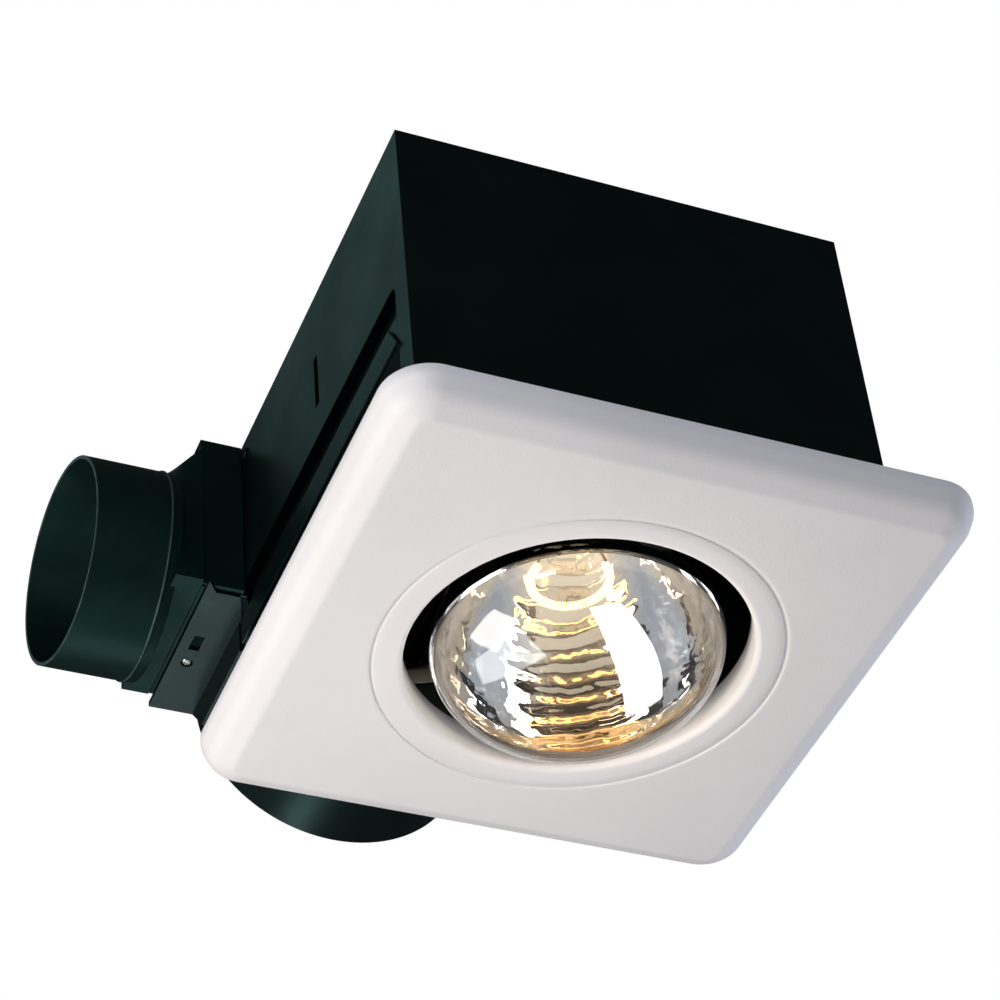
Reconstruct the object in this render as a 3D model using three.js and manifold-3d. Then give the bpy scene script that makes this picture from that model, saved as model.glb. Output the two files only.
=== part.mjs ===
// Recessed ceiling heater: one reflector lamp, a side blower and a round duct collar.
// Millimetres, +Z up. The origin lies on the lamp's axis, in the face plane of the ceiling.
import * as THREE from "three";
import { mergeVertices } from "three/addons/utils/BufferGeometryUtils.js";
import { ConvexGeometry } from "three/addons/geometries/ConvexGeometry.js";
import Module from "manifold-3d";

// Shared values: sheet steel, clearances, overrun of a cutting tool, facet counts
const sheet = 1.2;
const gap = 0.3;
const overrun = 5;
const weld = 0.0005;
const fine = 44;
const medium = 24;
const coarse = 12;
const tiny = 5;

// Housing: a steel box, open below, its foot just above the ceiling's face
const housingWidth = 212;
const housingLength = 210;
const housingHeight = 160;
const housingShiftX = -10;
const housingShiftY = -7;
const housingFoot = 1;
const housing = {
  left: housingShiftX - housingWidth / 2,
  right: housingShiftX + housingWidth / 2,
  near: housingShiftY - housingLength / 2,
  far: housingShiftY + housingLength / 2,
  foot: housingFoot,
  top: housingFoot + housingHeight,
};
// Pressed grooves along the left wall: the upper one deep, the lower one below the rail
const grooveInset = 13;
const upperGrooveTop = 77;
const upperGrooveHeight = 22;
const upperGrooveDepth = 5;
const lowerGrooveTop = 42;
const lowerGrooveHeight = 18;
const lowerGrooveDepth = 4;
const grooveShares = [
  [0, 1],
  [0.3, 0.85],
  [0.55, 0.45],
  [0.8, 0.12],
  [1, 0],
];
const slitWidth = 2.6;
const slitLength = 30;
const slitTop = 125;
const slitPlace = -5.5;
const knockoutRadius = 11.1;
const knockoutNear = 34;
const knockoutDrop = 28;
const nailHoleRadius = 2.6;
const nailHoleInset = 18;
const nailHoleHeight = 30;

// Rail: the steel strip over the lower groove, its near end cut at a slant
const railHeight = 14;
const railThickness = 1.3;
const railSlant = 8;
const railInset = 12;

// Blower axis and scroll, seen along Y
const scrollCentreInset = 73;
const scrollCentreRise = 77;
const scrollCentreX = housing.left + scrollCentreInset;
const scrollCentreZ = housing.foot + scrollCentreRise;
const scrollRadius = 68;
const scrollTopRadius = 81.5;
const scrollDepth = 87;
const scrollSpreadFrom = -20;
const scrollSteps = 32;
const wheelShiftX = -3;
const wheelShiftZ = 4;
const axisX = scrollCentreX + wheelShiftX;
const axisZ = scrollCentreZ + wheelShiftZ;
const frontPlateY = housing.far + gap;
const wrapNear = frontPlateY + sheet + gap;
const wrapFar = housing.far + scrollDepth;
const backPlateInset = 7;
const backPlateY = wrapFar - backPlateInset - sheet;
const outletDrop = 7;
const outletReach = 18;
const outletFloor = scrollCentreZ - outletDrop;
const outletTop = scrollCentreZ + scrollTopRadius;
const outletEnd = housing.left - outletReach;
const tongueBend = 0.6;
const blowerScrewInset = 10;
const blowerScrewRise = 44;
const blowerScrewMargin = 7;
const blowerScrewShank = 1.6;
const blowerScrewHead = 3.4;
const blowerScrewHeadHeight = 2;

// Inlet ring, wheel, hub
const inletRadius = 38;
const inletWall = 1.2;
const inletClearance = 1.8;
const inletFlange = 9;
const inletReach = 8;
const wheelRadius = 54;
const wheelInner = 43;
const wheelNearGap = 5;
const wheelLength = 54;
const wheelDisc = 1.5;
const wheelRing = 3;
const bladeCount = 28;
const bladeThickness = 0.9;
const bladeSweep = 13;
const bladeShares = [0, 0.5, 1];
const hubRadius = 7;
const hubLength = 13;

// Motor: stack, coil, rotor, shaft, bearings and straps, outside the back plate
const shaftRadius = 3;
const bushRadius = 5;
const bushLength = 5;
const legLength = 6;
const strapThickness = 1.5;
const stackLength = 16;
const stackHalfWidth = 23;
const stackBelow = 19;
const stackAbove = 29;
const rotorRadius = 13;
const rotorGap = 0.5;
const coilHalfWidth = 13;
const coilOverhang = 3.5;
const barHeight = 9;
const coilSwell = 3.5;
const motorBoltRadius = 1.8;
const motorBoltHead = 3.6;
const motorBoltHeadHeight = 2.4;
const motorBoltInset = 4.5;
const strapHalfHeight = 7;
const coverRadius = 41;
const coverWall = 1;
const coverClearance = 4;
const coverFlange = 6;
const coverScrewRadius = 1.6;

// Bracket under the outlet: a leaf with a slot and a screw hole, and a flange turned down
const bracketThickness = 1.2;
const bracketFlangeHeight = 18;
const bracketFlangeSlant = 14;
const bracketCornerRun = 6.5;
const bracketCornerInset = 5;
const bracketChamferX = 6;
const bracketChamferY = 17;
const slotLeft = 5;
const slotWidth = 5;
const slotNear = 31.5;
const slotLength = 10;
const connectorScrewInset = 7.5;
const connectorScrewNear = 51.2;
const connectorScrewHole = 2.9;
const connectorScrewHead = 2.3;
const connectorScrewShank = 1.5;
const connectorScrewLength = 7;

// Duct connector: a moulded body that turns from a rectangle to a round collar
const collarRadius = 49.8;
const collarWall = 1.8;
const collarLength = 46;
const collarMouthX = -191.2;
const collarMouthSkewY = 0.061;
const collarMouthSkewZ = 0.045;
const collarShiftY = 1.5;
const collarRise = 35;
const collarRidge = 0.6;
const collarRidgeLength = 1;
const collarRidgeInset = 2.7;
const bodyWall = 2;
const bodyLength = 15.5;
const bodyNearLap = 5;
const bodyFarInset = 7;
const bodyTopInset = 0.5;
const bodyShoulder = 5.5;
const spigotWall = 1.6;
const spigotLength = 13;
const spigotClearance = 0.5;
const socketNear = 95;
const socketWall = 1;
const bodyNear = housing.far - bodyNearLap;
const bodyFar = wrapFar - bodyFarInset;
const bodyTop = outletTop - bodyTopInset;
const shoulderTop = bodyTop - bodyShoulder;
const collarRoot = outletEnd - bodyLength;
const collarEnd = collarRoot - collarLength;
const collarY = (bodyNear + bodyFar) / 2 + collarShiftY;
const collarZ = outletFloor + collarRise;

// Damper: a round flap on a pin above the collar's middle
const damperRadius = 46;
const damperOffset = 14;
const damperInset = 13.5;
const damperX = collarRoot - damperInset;
const damperThickness = 1.2;
const damperPinRadius = 1.5;
const damperBoss = 1.2;
const seatWidth = 3.3;
const seatLength = 1.5;
const seatPlay = 1;
const seatClear = 6;

// Trim panel: a square moulding with rounded edges and a round opening
const trimLap = 16;
const trimHalf = Math.max(-housing.left, -housing.near, housing.right, housing.far) + trimLap;
const trimDepth = 18;
const trimCorner = 21;
const trimRound = 15;
const trimWall = 2.4;
const trimArcSteps = 5;
const trimCornerSteps = 6;
const openingRadius = 75.5;
const openingLip = 3;
const openingDepth = 15;
const ringRadius = 89;
const ringWidth = 1.6;
const ringDepth = 0.5;
const bossRadius = 4.2;
const bossHeight = 5;
const bossHole = 1.7;

// Trim clips: leaf springs that press on the housing's near and far walls
const clipShift = 62;
const clipWidth = 20;
const clipThickness = 1;
const clipFoot = 14;
const clipHeight = 34;
const clipBump = 1.6;
const clipBumpShare = 0.7;
const clipScrewHead = 3.4;
const clipScrewHeadHeight = 2;
const clipScrewShank = 1.4;
const clipScrewLength = 4;

// Lamp: reflector bulb, screw base, stem, filament
const lampRadius = 64;
const lampWaist = -11.5;
const lampDome = 38;
const lampGlass = 1.3;
const lampReflector = 104;
const lampDomeSteps = 7;
const lampSides = 28;
const reflectorShares = [
  [0.05, 0.994],
  [0.14, 0.955],
  [0.26, 0.875],
  [0.38, 0.765],
  [0.5, 0.635],
  [0.6, 0.52],
  [0.7, 0.41],
  [0.79, 0.325],
  [0.88, 0.27],
  [1, 0.195],
];
const baseRadius = 13;
const baseRoot = 12.2;
const baseWall = 0.6;
const baseLength = 25;
const baseThreads = 5;
const baseOverlap = 8;
const contactRadius = 4.8;
const contactHeight = 3;
const stemRadius = 7;
const stemLength = 42;
const stemFlare = 9;
const filamentRadius = 17.5;
const filamentRise = 39;
const filamentCurlCount = 22;
const filamentCurl = 1.6;
const filamentWire = 0.4;
const filamentOpenAngle = 110;
const filamentOpenAt = -108;
const filamentCurlSteps = 8;
const filamentSides = 5;
const supportWire = 0.6;
const supportSpread = 3;

// Lampholder: porcelain body, screw shell, centre contact, bracket, screws
const holderRadius = 20;
const holderWall = 5;
const holderDepth = 24;
const holderBack = 9;
const shellWall = 0.8;
const holderTip = 1.2;
const holderBracketWidth = 30;
const holderBracketHalf = 34;
const holderBracketFoot = 14;
const holderScrewInset = 12;
const holderScrewRadius = 1.8;
const holderScrewHead = 3.6;
const holderScrewHeadHeight = 2.2;

// Heat shield under the lampholder's bracket, with the thermal cutout on it
const shieldHalf = 48;
const shieldFlange = 8;
const cutoutRadius = 8;
const cutoutHeight = 6;
const cutoutInset = 14;

// Wiring compartment in the near right corner of the housing
const wiringWidth = 42;
const wiringLength = 62;
const wiringDepth = 50;
const wiringFlange = 9;
const wiringScrewRadius = 1.8;
const wiringScrewHead = 3.8;
const wiringScrewHeadHeight = 2.2;
const groundScrewInset = 14;
const receptacleWidth = 22;
const receptacleHeight = 14;
const receptacleDepth = 12;
const receptacleLip = 2;
const plugLength = 16;
const clampBore = 7.5;
const clampRim = 3.5;
const clampLength = 7;
const wallScrewInset = 7;
const wallScrewDrop = 9;
const leadRadius = 1.3;
const leadSides = 6;
const leadSteps = 22;
const leadSpread = 2;
const leadPitch = 8;
const leadDip = 10;
const leadEntry = 8;
const grommetRim = 1.4;
const motorLeadBehind = 10;
const motorLeadRise = 14;

// Closed outlines, solids and booleans
const wasm = await Module();
wasm.setup();

function solidOf(geometry) {
  const bare = geometry.index ? geometry.toNonIndexed() : geometry.clone();
  bare.deleteAttribute("normal");
  bare.deleteAttribute("uv");
  const merged = mergeVertices(bare, weld);
  const corners = merged.index.array;
  const kept = [];
  for (let i = 0; i < corners.length; i += 3) {
    const [a, b, c] = [corners[i], corners[i + 1], corners[i + 2]];
    if (a !== b && b !== c && c !== a) kept.push(a, b, c);
  }
  const mesh = new wasm.Mesh({
    numProp: 3,
    vertProperties: merged.attributes.position.array,
    triVerts: new Uint32Array(kept),
  });
  return new wasm.Manifold(mesh);
}

function geometryOf(solid) {
  const mesh = solid.getMesh();
  const geometry = new THREE.BufferGeometry();
  geometry.setAttribute("position", new THREE.BufferAttribute(mesh.vertProperties, 3));
  geometry.setIndex(new THREE.BufferAttribute(mesh.triVerts, 1));
  geometry.computeVertexNormals();
  return geometry;
}

function cut(base, ...tools) {
  let solid = solidOf(base);
  for (const tool of tools) solid = solid.subtract(solidOf(tool));
  return geometryOf(solid);
}

function join(base, ...others) {
  let solid = solidOf(base);
  for (const other of others) solid = solid.add(solidOf(other));
  return geometryOf(solid);
}

function common(base, ...others) {
  let solid = solidOf(base);
  for (const other of others) solid = solid.intersect(solidOf(other));
  return geometryOf(solid);
}

function block(x0, x1, y0, y1, z0, z1) {
  const box = new THREE.BoxGeometry(x1 - x0, y1 - y0, z1 - z0);
  return box.translate((x0 + x1) / 2, (y0 + y1) / 2, (z0 + z1) / 2);
}

function polygon(points) {
  return new THREE.Shape(points.map(([u, v]) => new THREE.Vector2(u, v)));
}

function disc(u, v, radius) {
  return new THREE.Shape().absarc(u, v, radius, 0, 2 * Math.PI, false);
}

// A flat shape drawn out along one axis: along X the shape is in (y, z), along Y in (x, z), along Z in (x, y)
const unitX = new THREE.Vector3(1, 0, 0);
const unitY = new THREE.Vector3(0, 1, 0);
const unitZ = new THREE.Vector3(0, 0, 1);
const drawn = {
  X: new THREE.Matrix4().makeBasis(unitY, unitZ, unitX),
  Y: new THREE.Matrix4().makeBasis(unitX, unitZ, unitY.clone().negate()),
  Z: new THREE.Matrix4(),
};
function along(axis, shape, from, to, curveSegments = medium) {
  const settings = { depth: to - from, bevelEnabled: false, curveSegments, steps: 1 };
  const geometry = new THREE.ExtrudeGeometry(shape, settings);
  const start = axis === "Y" ? to : from;
  const moves = { X: [start, 0, 0], Y: [0, start, 0], Z: [0, 0, start] };
  return geometry.applyMatrix4(drawn[axis]).translate(...moves[axis]);
}

// A round bar along an axis; arcs take half the given number of sides each way round
function bar(axis, u, v, radius, from, to, sides = coarse) {
  return along(axis, disc(u, v, radius), from, to, sides);
}

// A turned piece: the profile is a closed list of [radius, height], turned about the vertical
function turned(profile, sides = fine) {
  let area = 0;
  profile.forEach(([r, h], i) => {
    const [r2, h2] = profile[(i + 1) % profile.length];
    area += r * h2 - r2 * h;
  });
  const ordered = area < 0 ? [...profile].reverse() : profile;
  const points = [...ordered, ordered[0]].map(([r, h]) => new THREE.Vector2(r, h));
  return new THREE.LatheGeometry(points, sides).rotateX(Math.PI / 2);
}

// The same, with its axis turned to lie along X or Y; heights run along +X or +Y
function turnedAlong(axis, profile, sides = fine) {
  const geometry = turned(profile, sides);
  return axis === "X" ? geometry.rotateY(Math.PI / 2) : geometry.rotateX(-Math.PI / 2);
}

// A closed body through rings of equal length, its end rings flat and capped
function lofted(rings) {
  const count = rings[0].length;
  const positions = rings.flat().flatMap((p) => [p.x, p.y, p.z]);
  const faces = [];
  for (let k = 0; k + 1 < rings.length; k += 1) {
    for (let i = 0; i < count; i += 1) {
      const a = k * count + i;
      const b = k * count + ((i + 1) % count);
      faces.push(a, b, b + count, a, b + count, a + count);
    }
  }
  const last = (rings.length - 1) * count;
  for (let i = 1; i + 1 < count; i += 1) {
    faces.push(0, i + 1, i);
    faces.push(last, last + i, last + i + 1);
  }
  const geometry = new THREE.BufferGeometry();
  geometry.setAttribute("position", new THREE.Float32BufferAttribute(positions, 3));
  geometry.setIndex(faces);
  return geometry;
}

// A pan-head screw along an axis: the head ends at headFrom + height, the shank starts there and runs on
function screw(axis, u, v, head, height, shank, headFrom, tip) {
  const sign = Math.sign(tip - headFrom);
  const seat = headFrom + sign * height;
  const [h0, h1] = sign > 0 ? [headFrom, seat] : [seat, headFrom];
  const [s0, s1] = sign > 0 ? [seat - weld, tip] : [tip, seat + weld];
  return join(bar(axis, u, v, head, h0, h1, tiny), bar(axis, u, v, shank, s0, s1, tiny));
}

// A tube along a curve
function tube(points, radius, sides, steps) {
  const path = new THREE.CatmullRomCurve3(points);
  const section = new THREE.Shape();
  for (let i = 0; i < sides; i += 1) {
    const angle = (2 * Math.PI * i) / sides;
    const [u, v] = [radius * Math.cos(angle), radius * Math.sin(angle)];
    if (i === 0) section.moveTo(u, v);
    else section.lineTo(u, v);
  }
  section.closePath();
  return new THREE.ExtrudeGeometry(section, { steps, extrudePath: path, curveSegments: 1 });
}

// Materials
const paint = { color: 0x1a201f, roughness: 0.55, metalness: 0.3 };
const galvanised = { color: 0x8f9494, roughness: 0.45, metalness: 0.8 };
const bright = { color: 0xc9c9c6, roughness: 0.3, metalness: 0.9 };
const black = { color: 0x17191a, roughness: 0.4, metalness: 0 };
const white = { color: 0xe9e5df, roughness: 0.5, metalness: 0 };
const porcelain = { color: 0xf0eee8, roughness: 0.25, metalness: 0 };
const brass = { color: 0xc6a253, roughness: 0.3, metalness: 0.9 };
const copper = { color: 0xa8562c, roughness: 0.4, metalness: 0.6 };
const glass = { color: 0xf3ead2, roughness: 0.05, metalness: 0 };
const steel = { color: 0x6d7072, roughness: 0.5, metalness: 0.8 };
const bronze = { color: 0x9a6b3a, roughness: 0.5, metalness: 0.7 };

const heater = new THREE.Group();
function add(name, geometry, look) {
  const mesh = new THREE.Mesh(geometry, new THREE.MeshStandardMaterial(look));
  mesh.name = name;
  heater.add(mesh);
  return mesh;
}

// Housing shell: the outer and the inner box both carry the grooves, so the wall keeps its thickness
function grooveOutline(top, height, depth, offset) {
  const wall = housing.left;
  const floor = grooveShares.map(([drop, share]) => [
    wall + offset + depth * share,
    top + (drop === 0 ? offset : 0) - height * drop,
  ]);
  return polygon([[wall - overrun, top + offset], ...floor, [wall - overrun, top - height]]);
}
function grooveTool(top, height, depth, offset, far) {
  const near = housing.near + grooveInset - offset;
  return along("Y", grooveOutline(top, height, depth, offset), near, far);
}
const outerBox = cut(
  block(housing.left, housing.right, housing.near, housing.far, housing.foot, housing.top),
  grooveTool(upperGrooveTop, upperGrooveHeight, upperGrooveDepth, 0, housing.far + overrun),
  grooveTool(lowerGrooveTop, lowerGrooveHeight, lowerGrooveDepth, 0, housing.far + overrun),
);
const inner = {
  left: housing.left + sheet,
  right: housing.right - sheet,
  near: housing.near + sheet,
  far: housing.far - sheet,
  top: housing.top - sheet,
};
const innerBox = cut(
  block(inner.left, inner.right, inner.near, inner.far, housing.foot - overrun, inner.top),
  grooveTool(upperGrooveTop, upperGrooveHeight, upperGrooveDepth, sheet, inner.far + overrun),
  grooveTool(lowerGrooveTop, lowerGrooveHeight, lowerGrooveDepth, sheet, inner.far + overrun),
);
const slit = block(
  housing.left - overrun,
  inner.left + overrun,
  slitPlace - slitWidth / 2,
  slitPlace + slitWidth / 2,
  slitTop - slitLength,
  slitTop,
);
const knockoutY = housing.near + knockoutNear;
const knockoutZ = housing.top - knockoutDrop;
const inletHole = inletRadius + inletWall + inletClearance;
const rightHoles = [housing.near + nailHoleInset, housing.far - nailHoleInset].map((y) =>
  bar("X", y, nailHoleHeight, nailHoleRadius, inner.right - overrun, housing.right + overrun, tiny),
);
const blowerScrewReach = (wheelRadius + blowerScrewMargin) * Math.SQRT1_2;
const blowerScrewPlaces = [
  [housing.left + blowerScrewInset, scrollCentreZ + blowerScrewRise],
  [axisX + blowerScrewReach, axisZ - blowerScrewReach],
];
const blowerScrewHoles = blowerScrewPlaces.map(([x, z]) =>
  bar("Y", x, z, blowerScrewShank + gap, inner.far - overrun, wrapNear + overrun, tiny),
);
const housingHoles = [
  slit,
  bar("Y", axisX, axisZ, inletHole, inner.far - overrun, housing.far + overrun, medium),
  bar("X", knockoutY, knockoutZ, knockoutRadius, inner.right - overrun, housing.right + overrun),
  ...rightHoles,
  ...blowerScrewHoles,
];

// Rail over the lower groove, its near end slanted
const railOutline = polygon([
  [housing.near + railInset, lowerGrooveTop],
  [housing.far, lowerGrooveTop],
  [housing.far, lowerGrooveTop + railHeight],
  [housing.near + railInset + railSlant, lowerGrooveTop + railHeight],
]);
const railX = housing.left - gap - railThickness;
add("side_rail", along("X", railOutline, railX, housing.left - gap), paint);

// Scroll outline: round from the tongue under the wheel, then widening up to the outlet's roof
function scrollPoint(angle, inset) {
  const spread = THREE.MathUtils.smoothstep(angle, scrollSpreadFrom, 90);
  const radius = scrollRadius + (scrollTopRadius - scrollRadius) * spread - inset;
  const turn = THREE.MathUtils.degToRad(angle);
  return [scrollCentreX + radius * Math.cos(turn), scrollCentreZ + radius * Math.sin(turn)];
}
const tongueAngle = -180 + THREE.MathUtils.radToDeg(Math.asin(outletDrop / scrollRadius));
const arcStart = tongueAngle + THREE.MathUtils.radToDeg(tongueBend / scrollRadius);
function scrollLine(inset) {
  const tongue = scrollPoint(tongueAngle, inset);
  const line = [
    [outletEnd, outletFloor + inset],
    [tongue[0] - tongueBend, outletFloor + inset],
  ];
  for (let i = 1; i <= scrollSteps; i += 1) {
    const angle = arcStart + ((90 - arcStart) * i) / scrollSteps;
    line.push(scrollPoint(angle, inset));
  }
  line.push([outletEnd, outletTop - inset]);
  return line;
}
const scrollOuter = scrollLine(0);
const wrapOutline = polygon([...scrollOuter, ...scrollLine(sheet).reverse()]);
const connectorScrewX = outletEnd + connectorScrewInset;
const connectorScrewY = frontPlateY + connectorScrewNear;
const floorHole = bar(
  "Z",
  connectorScrewX,
  connectorScrewY,
  connectorScrewShank + gap,
  outletFloor - overrun,
  outletFloor + overrun,
  tiny,
);
add("scroll_wrap", cut(along("Y", wrapOutline, wrapNear, wrapFar), floorHole), paint);

// Scroll's front plate, bolted to the housing, with the inlet hole
add(
  "scroll_front_plate",
  cut(
    along("Y", polygon(scrollOuter), frontPlateY, frontPlateY + sheet),
    bar("Y", axisX, axisZ, inletHole, frontPlateY - overrun, wrapNear + overrun, medium),
    ...blowerScrewPlaces.map(([x, z]) =>
      bar("Y", x, z, blowerScrewShank + gap, frontPlateY - overrun, wrapNear + overrun, tiny),
    ),
  ),
  paint,
);
blowerScrewPlaces.forEach(([x, z], i) => {
  const headFrom = inner.far - gap - blowerScrewHeadHeight;
  const tip = frontPlateY + sheet + blowerScrewShank;
  const body = screw("Y", x, z, blowerScrewHead, blowerScrewHeadHeight, blowerScrewShank, headFrom, tip);
  add(`blower_screw_${i + 1}`, body, bright);
});

// Back plate inside the wrap, which carries the motor
const motorBolts = [-1, 1].map((side) => axisX + side * (stackHalfWidth - motorBoltInset));
const coverScrews = [-1, 1].map((side) => axisX + side * (coverRadius + coverFlange / 2));
const shaftHole = bushRadius + coverClearance;
const backHole = (x, z, radius) =>
  bar("Y", x, z, radius, backPlateY - overrun, backPlateY + sheet + overrun, tiny);
add(
  "scroll_back_plate",
  cut(
    along("Y", polygon(scrollLine(sheet + gap)), backPlateY, backPlateY + sheet),
    bar("Y", axisX, axisZ, shaftHole, backPlateY - overrun, backPlateY + sheet + overrun),
    ...motorBolts.map((x) => backHole(x, axisZ, motorBoltRadius + gap)),
    ...coverScrews.map((x) => backHole(x, axisZ, coverScrewRadius + gap)),
  ),
  galvanised,
);

// Inlet ring: a flange inside the housing and a throat that reaches into the wheel's mouth
const ringFlangeY = inner.far - gap - inletWall;
const inletEnd = frontPlateY + sheet + inletReach;
const inletRing = turnedAlong(
  "Y",
  [
    [inletRadius, ringFlangeY + inletWall],
    [inletRadius, inletEnd],
    [inletRadius - inletWall, inletEnd],
    [inletRadius - inletWall, ringFlangeY + inletWall],
    [inletRadius + inletWall, ringFlangeY],
    [inletRadius + inletFlange, ringFlangeY],
    [inletRadius + inletFlange, ringFlangeY + inletWall],
  ],
  medium,
);
add("inlet_ring", inletRing.translate(axisX, 0, axisZ), galvanised);

// Blower wheel: a ring, swept blades and a disc at the motor's end
const wheelNear = wrapNear + wheelNearGap;
const wheelFar = wheelNear + wheelLength;
function bladeOutline(index) {
  const start = (360 / bladeCount) * index;
  const line = bladeShares.map((share) => {
    const radius = wheelInner + (wheelRadius - wheelInner) * share;
    const angle = THREE.MathUtils.degToRad(start + bladeSweep * share * share);
    return [radius, angle];
  });
  const edge = (offset) =>
    line.map(([radius, angle]) => {
      const turn = angle + offset / radius;
      return [axisX + radius * Math.cos(turn), axisZ + radius * Math.sin(turn)];
    });
  return polygon([...edge(0), ...edge(bladeThickness).reverse()]);
}
const wheelRingSolid = turnedAlong(
  "Y",
  [
    [wheelInner, wheelNear],
    [wheelRadius, wheelNear],
    [wheelRadius, wheelNear + wheelRing],
    [wheelInner, wheelNear + wheelRing],
  ],
  medium,
);
const wheelDiscSolid = turnedAlong(
  "Y",
  [
    [shaftRadius + gap, wheelFar - wheelDisc],
    [wheelRadius, wheelFar - wheelDisc],
    [wheelRadius, wheelFar],
    [shaftRadius + gap, wheelFar],
  ],
  medium,
);
const blades = Array.from({ length: bladeCount }, (_, i) =>
  along("Y", bladeOutline(i), wheelNear + wheelRing / 2, wheelFar - wheelDisc / 2),
);
add(
  "blower_wheel",
  join(
    wheelRingSolid.translate(axisX, 0, axisZ),
    wheelDiscSolid.translate(axisX, 0, axisZ),
    ...blades,
  ),
  galvanised,
);

// Hub, shaft and rotor turn with the wheel
function sleeve(outer, bore, from, to, sides = coarse) {
  const profile = [
    [bore, from],
    [outer, from],
    [outer, to],
    [bore, to],
  ];
  return turnedAlong("Y", profile, sides).translate(axisX, 0, axisZ);
}
const hubFar = wheelFar - wheelDisc - gap;
add("wheel_hub", sleeve(hubRadius, shaftRadius + gap, hubFar - hubLength, hubFar), bright);
const strapY = backPlateY + sheet + legLength;
const stackY = strapY + strapThickness + gap;
const stackFar = stackY + stackLength;
const rearStrapY = stackFar + gap;
const bushOverlap = (bushLength - strapThickness) / 2;
const shaftFar = rearStrapY + bushLength;
add("motor_shaft", bar("Y", axisX, axisZ, shaftRadius, hubFar - hubLength, shaftFar, tiny), bright);
add("motor_rotor", sleeve(rotorRadius, shaftRadius + gap, stackY, stackFar, medium), steel);

// Stator: a stack with a bore, two coil slots and bolt holes; the coil sits on its top bar
const boreRadius = rotorRadius + rotorGap;
const barBottom = axisZ + stackAbove - barHeight;
const windowBottom = axisZ + boreRadius + strapThickness;
const stackHoles = motorBolts.map((x) =>
  bar("Y", x, axisZ, motorBoltRadius + gap, stackY - overrun, stackFar + overrun, tiny),
);
const stackOutline = [
  axisX - stackHalfWidth,
  axisX + stackHalfWidth,
  stackY,
  stackFar,
  axisZ - stackBelow,
  axisZ + stackAbove,
];
add(
  "motor_stator",
  cut(
    block(...stackOutline),
    bar("Y", axisX, axisZ, boreRadius, stackY - overrun, stackFar + overrun, medium),
    block(
      axisX - coilHalfWidth - gap,
      axisX + coilHalfWidth + gap,
      stackY - overrun,
      stackFar + overrun,
      windowBottom,
      barBottom,
    ),
    ...stackHoles,
  ),
  steel,
);
const coilBottom = Math.max(windowBottom + gap, barBottom - coilSwell);
add(
  "motor_coil",
  cut(
    block(
      axisX - coilHalfWidth,
      axisX + coilHalfWidth,
      stackY - coilOverhang,
      stackFar + coilOverhang,
      coilBottom,
      axisZ + stackAbove + coilSwell,
    ),
    block(
      axisX - coilHalfWidth - overrun,
      axisX + coilHalfWidth + overrun,
      stackY - gap,
      stackFar + gap,
      barBottom - gap,
      axisZ + stackAbove + gap,
    ),
  ),
  copper,
);

// Straps across the stack hold the bushes; the front one stands on legs on the back plate
const boltHole = (x, from, to) => bar("Y", x, axisZ, motorBoltRadius + gap, from, to, tiny);
const strapBlock = (from, to, half) =>
  block(axisX - stackHalfWidth, axisX + stackHalfWidth, from, to, axisZ - half, axisZ + half);
const strapLegs = [-1, 1].map((side) => {
  const edge = axisX + side * stackHalfWidth;
  const leg = edge - side * 2 * motorBoltInset;
  const [x0, x1] = [Math.min(edge, leg), Math.max(edge, leg)];
  const foot = backPlateY + sheet + gap;
  return block(x0, x1, foot, strapY + weld, axisZ - strapHalfHeight, axisZ + strapHalfHeight);
});
add(
  "motor_strap_front",
  cut(
    join(strapBlock(strapY, strapY + strapThickness, strapHalfHeight), ...strapLegs),
    bar("Y", axisX, axisZ, bushRadius + gap, strapY - overrun, stackY + overrun),
    ...motorBolts.map((x) => boltHole(x, backPlateY, stackY + overrun)),
  ),
  galvanised,
);
add(
  "motor_strap_rear",
  cut(
    strapBlock(rearStrapY, rearStrapY + strapThickness, strapHalfHeight),
    bar("Y", axisX, axisZ, bushRadius + gap, rearStrapY - overrun, rearStrapY + overrun),
    ...motorBolts.map((x) => boltHole(x, rearStrapY - overrun, rearStrapY + overrun)),
  ),
  galvanised,
);
const bushFrontFar = strapY + strapThickness;
const bushSleeve = (from, to) => sleeve(bushRadius, shaftRadius + gap, from, to);
add("bearing_front", bushSleeve(bushFrontFar - bushLength, bushFrontFar), bronze);
add("bearing_rear", bushSleeve(rearStrapY, rearStrapY + bushLength - bushOverlap), bronze);
motorBolts.forEach((x, i) => {
  const headFrom = rearStrapY + strapThickness + gap + motorBoltHeadHeight;
  const tip = backPlateY - motorBoltHeadHeight;
  const body = screw("Y", x, axisZ, motorBoltHead, motorBoltHeadHeight, motorBoltRadius, headFrom, tip);
  add(`motor_bolt_${i + 1}`, body, bright);
});

// Motor cover: a drawn cup with a flange, screwed to the back plate
const coverFoot = backPlateY + sheet + gap;
const coverEnd = shaftFar + coverClearance;
const coverCup = turnedAlong(
  "Y",
  [
    [coverRadius - coverWall, coverFoot],
    [coverRadius + coverFlange, coverFoot],
    [coverRadius + coverFlange, coverFoot + coverWall],
    [coverRadius, coverFoot + coverWall],
    [coverRadius, coverEnd - coverClearance],
    [coverRadius - coverClearance, coverEnd],
    [0, coverEnd],
    [0, coverEnd - coverWall],
    [coverRadius - coverClearance - coverWall / 2, coverEnd - coverWall],
    [coverRadius - coverWall, coverEnd - coverClearance - coverWall / 2],
  ],
  medium,
);
add(
  "motor_cover",
  cut(
    coverCup.translate(axisX, 0, axisZ),
    ...coverScrews.map((x) => backHole(x, axisZ, coverScrewRadius + gap)),
    bar(
      "X",
      wrapFar + motorLeadBehind,
      axisZ + motorLeadRise,
      leadRadius + gap,
      axisX,
      axisX + coverRadius + overrun,
      tiny,
    ),
  ),
  paint,
);
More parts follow.
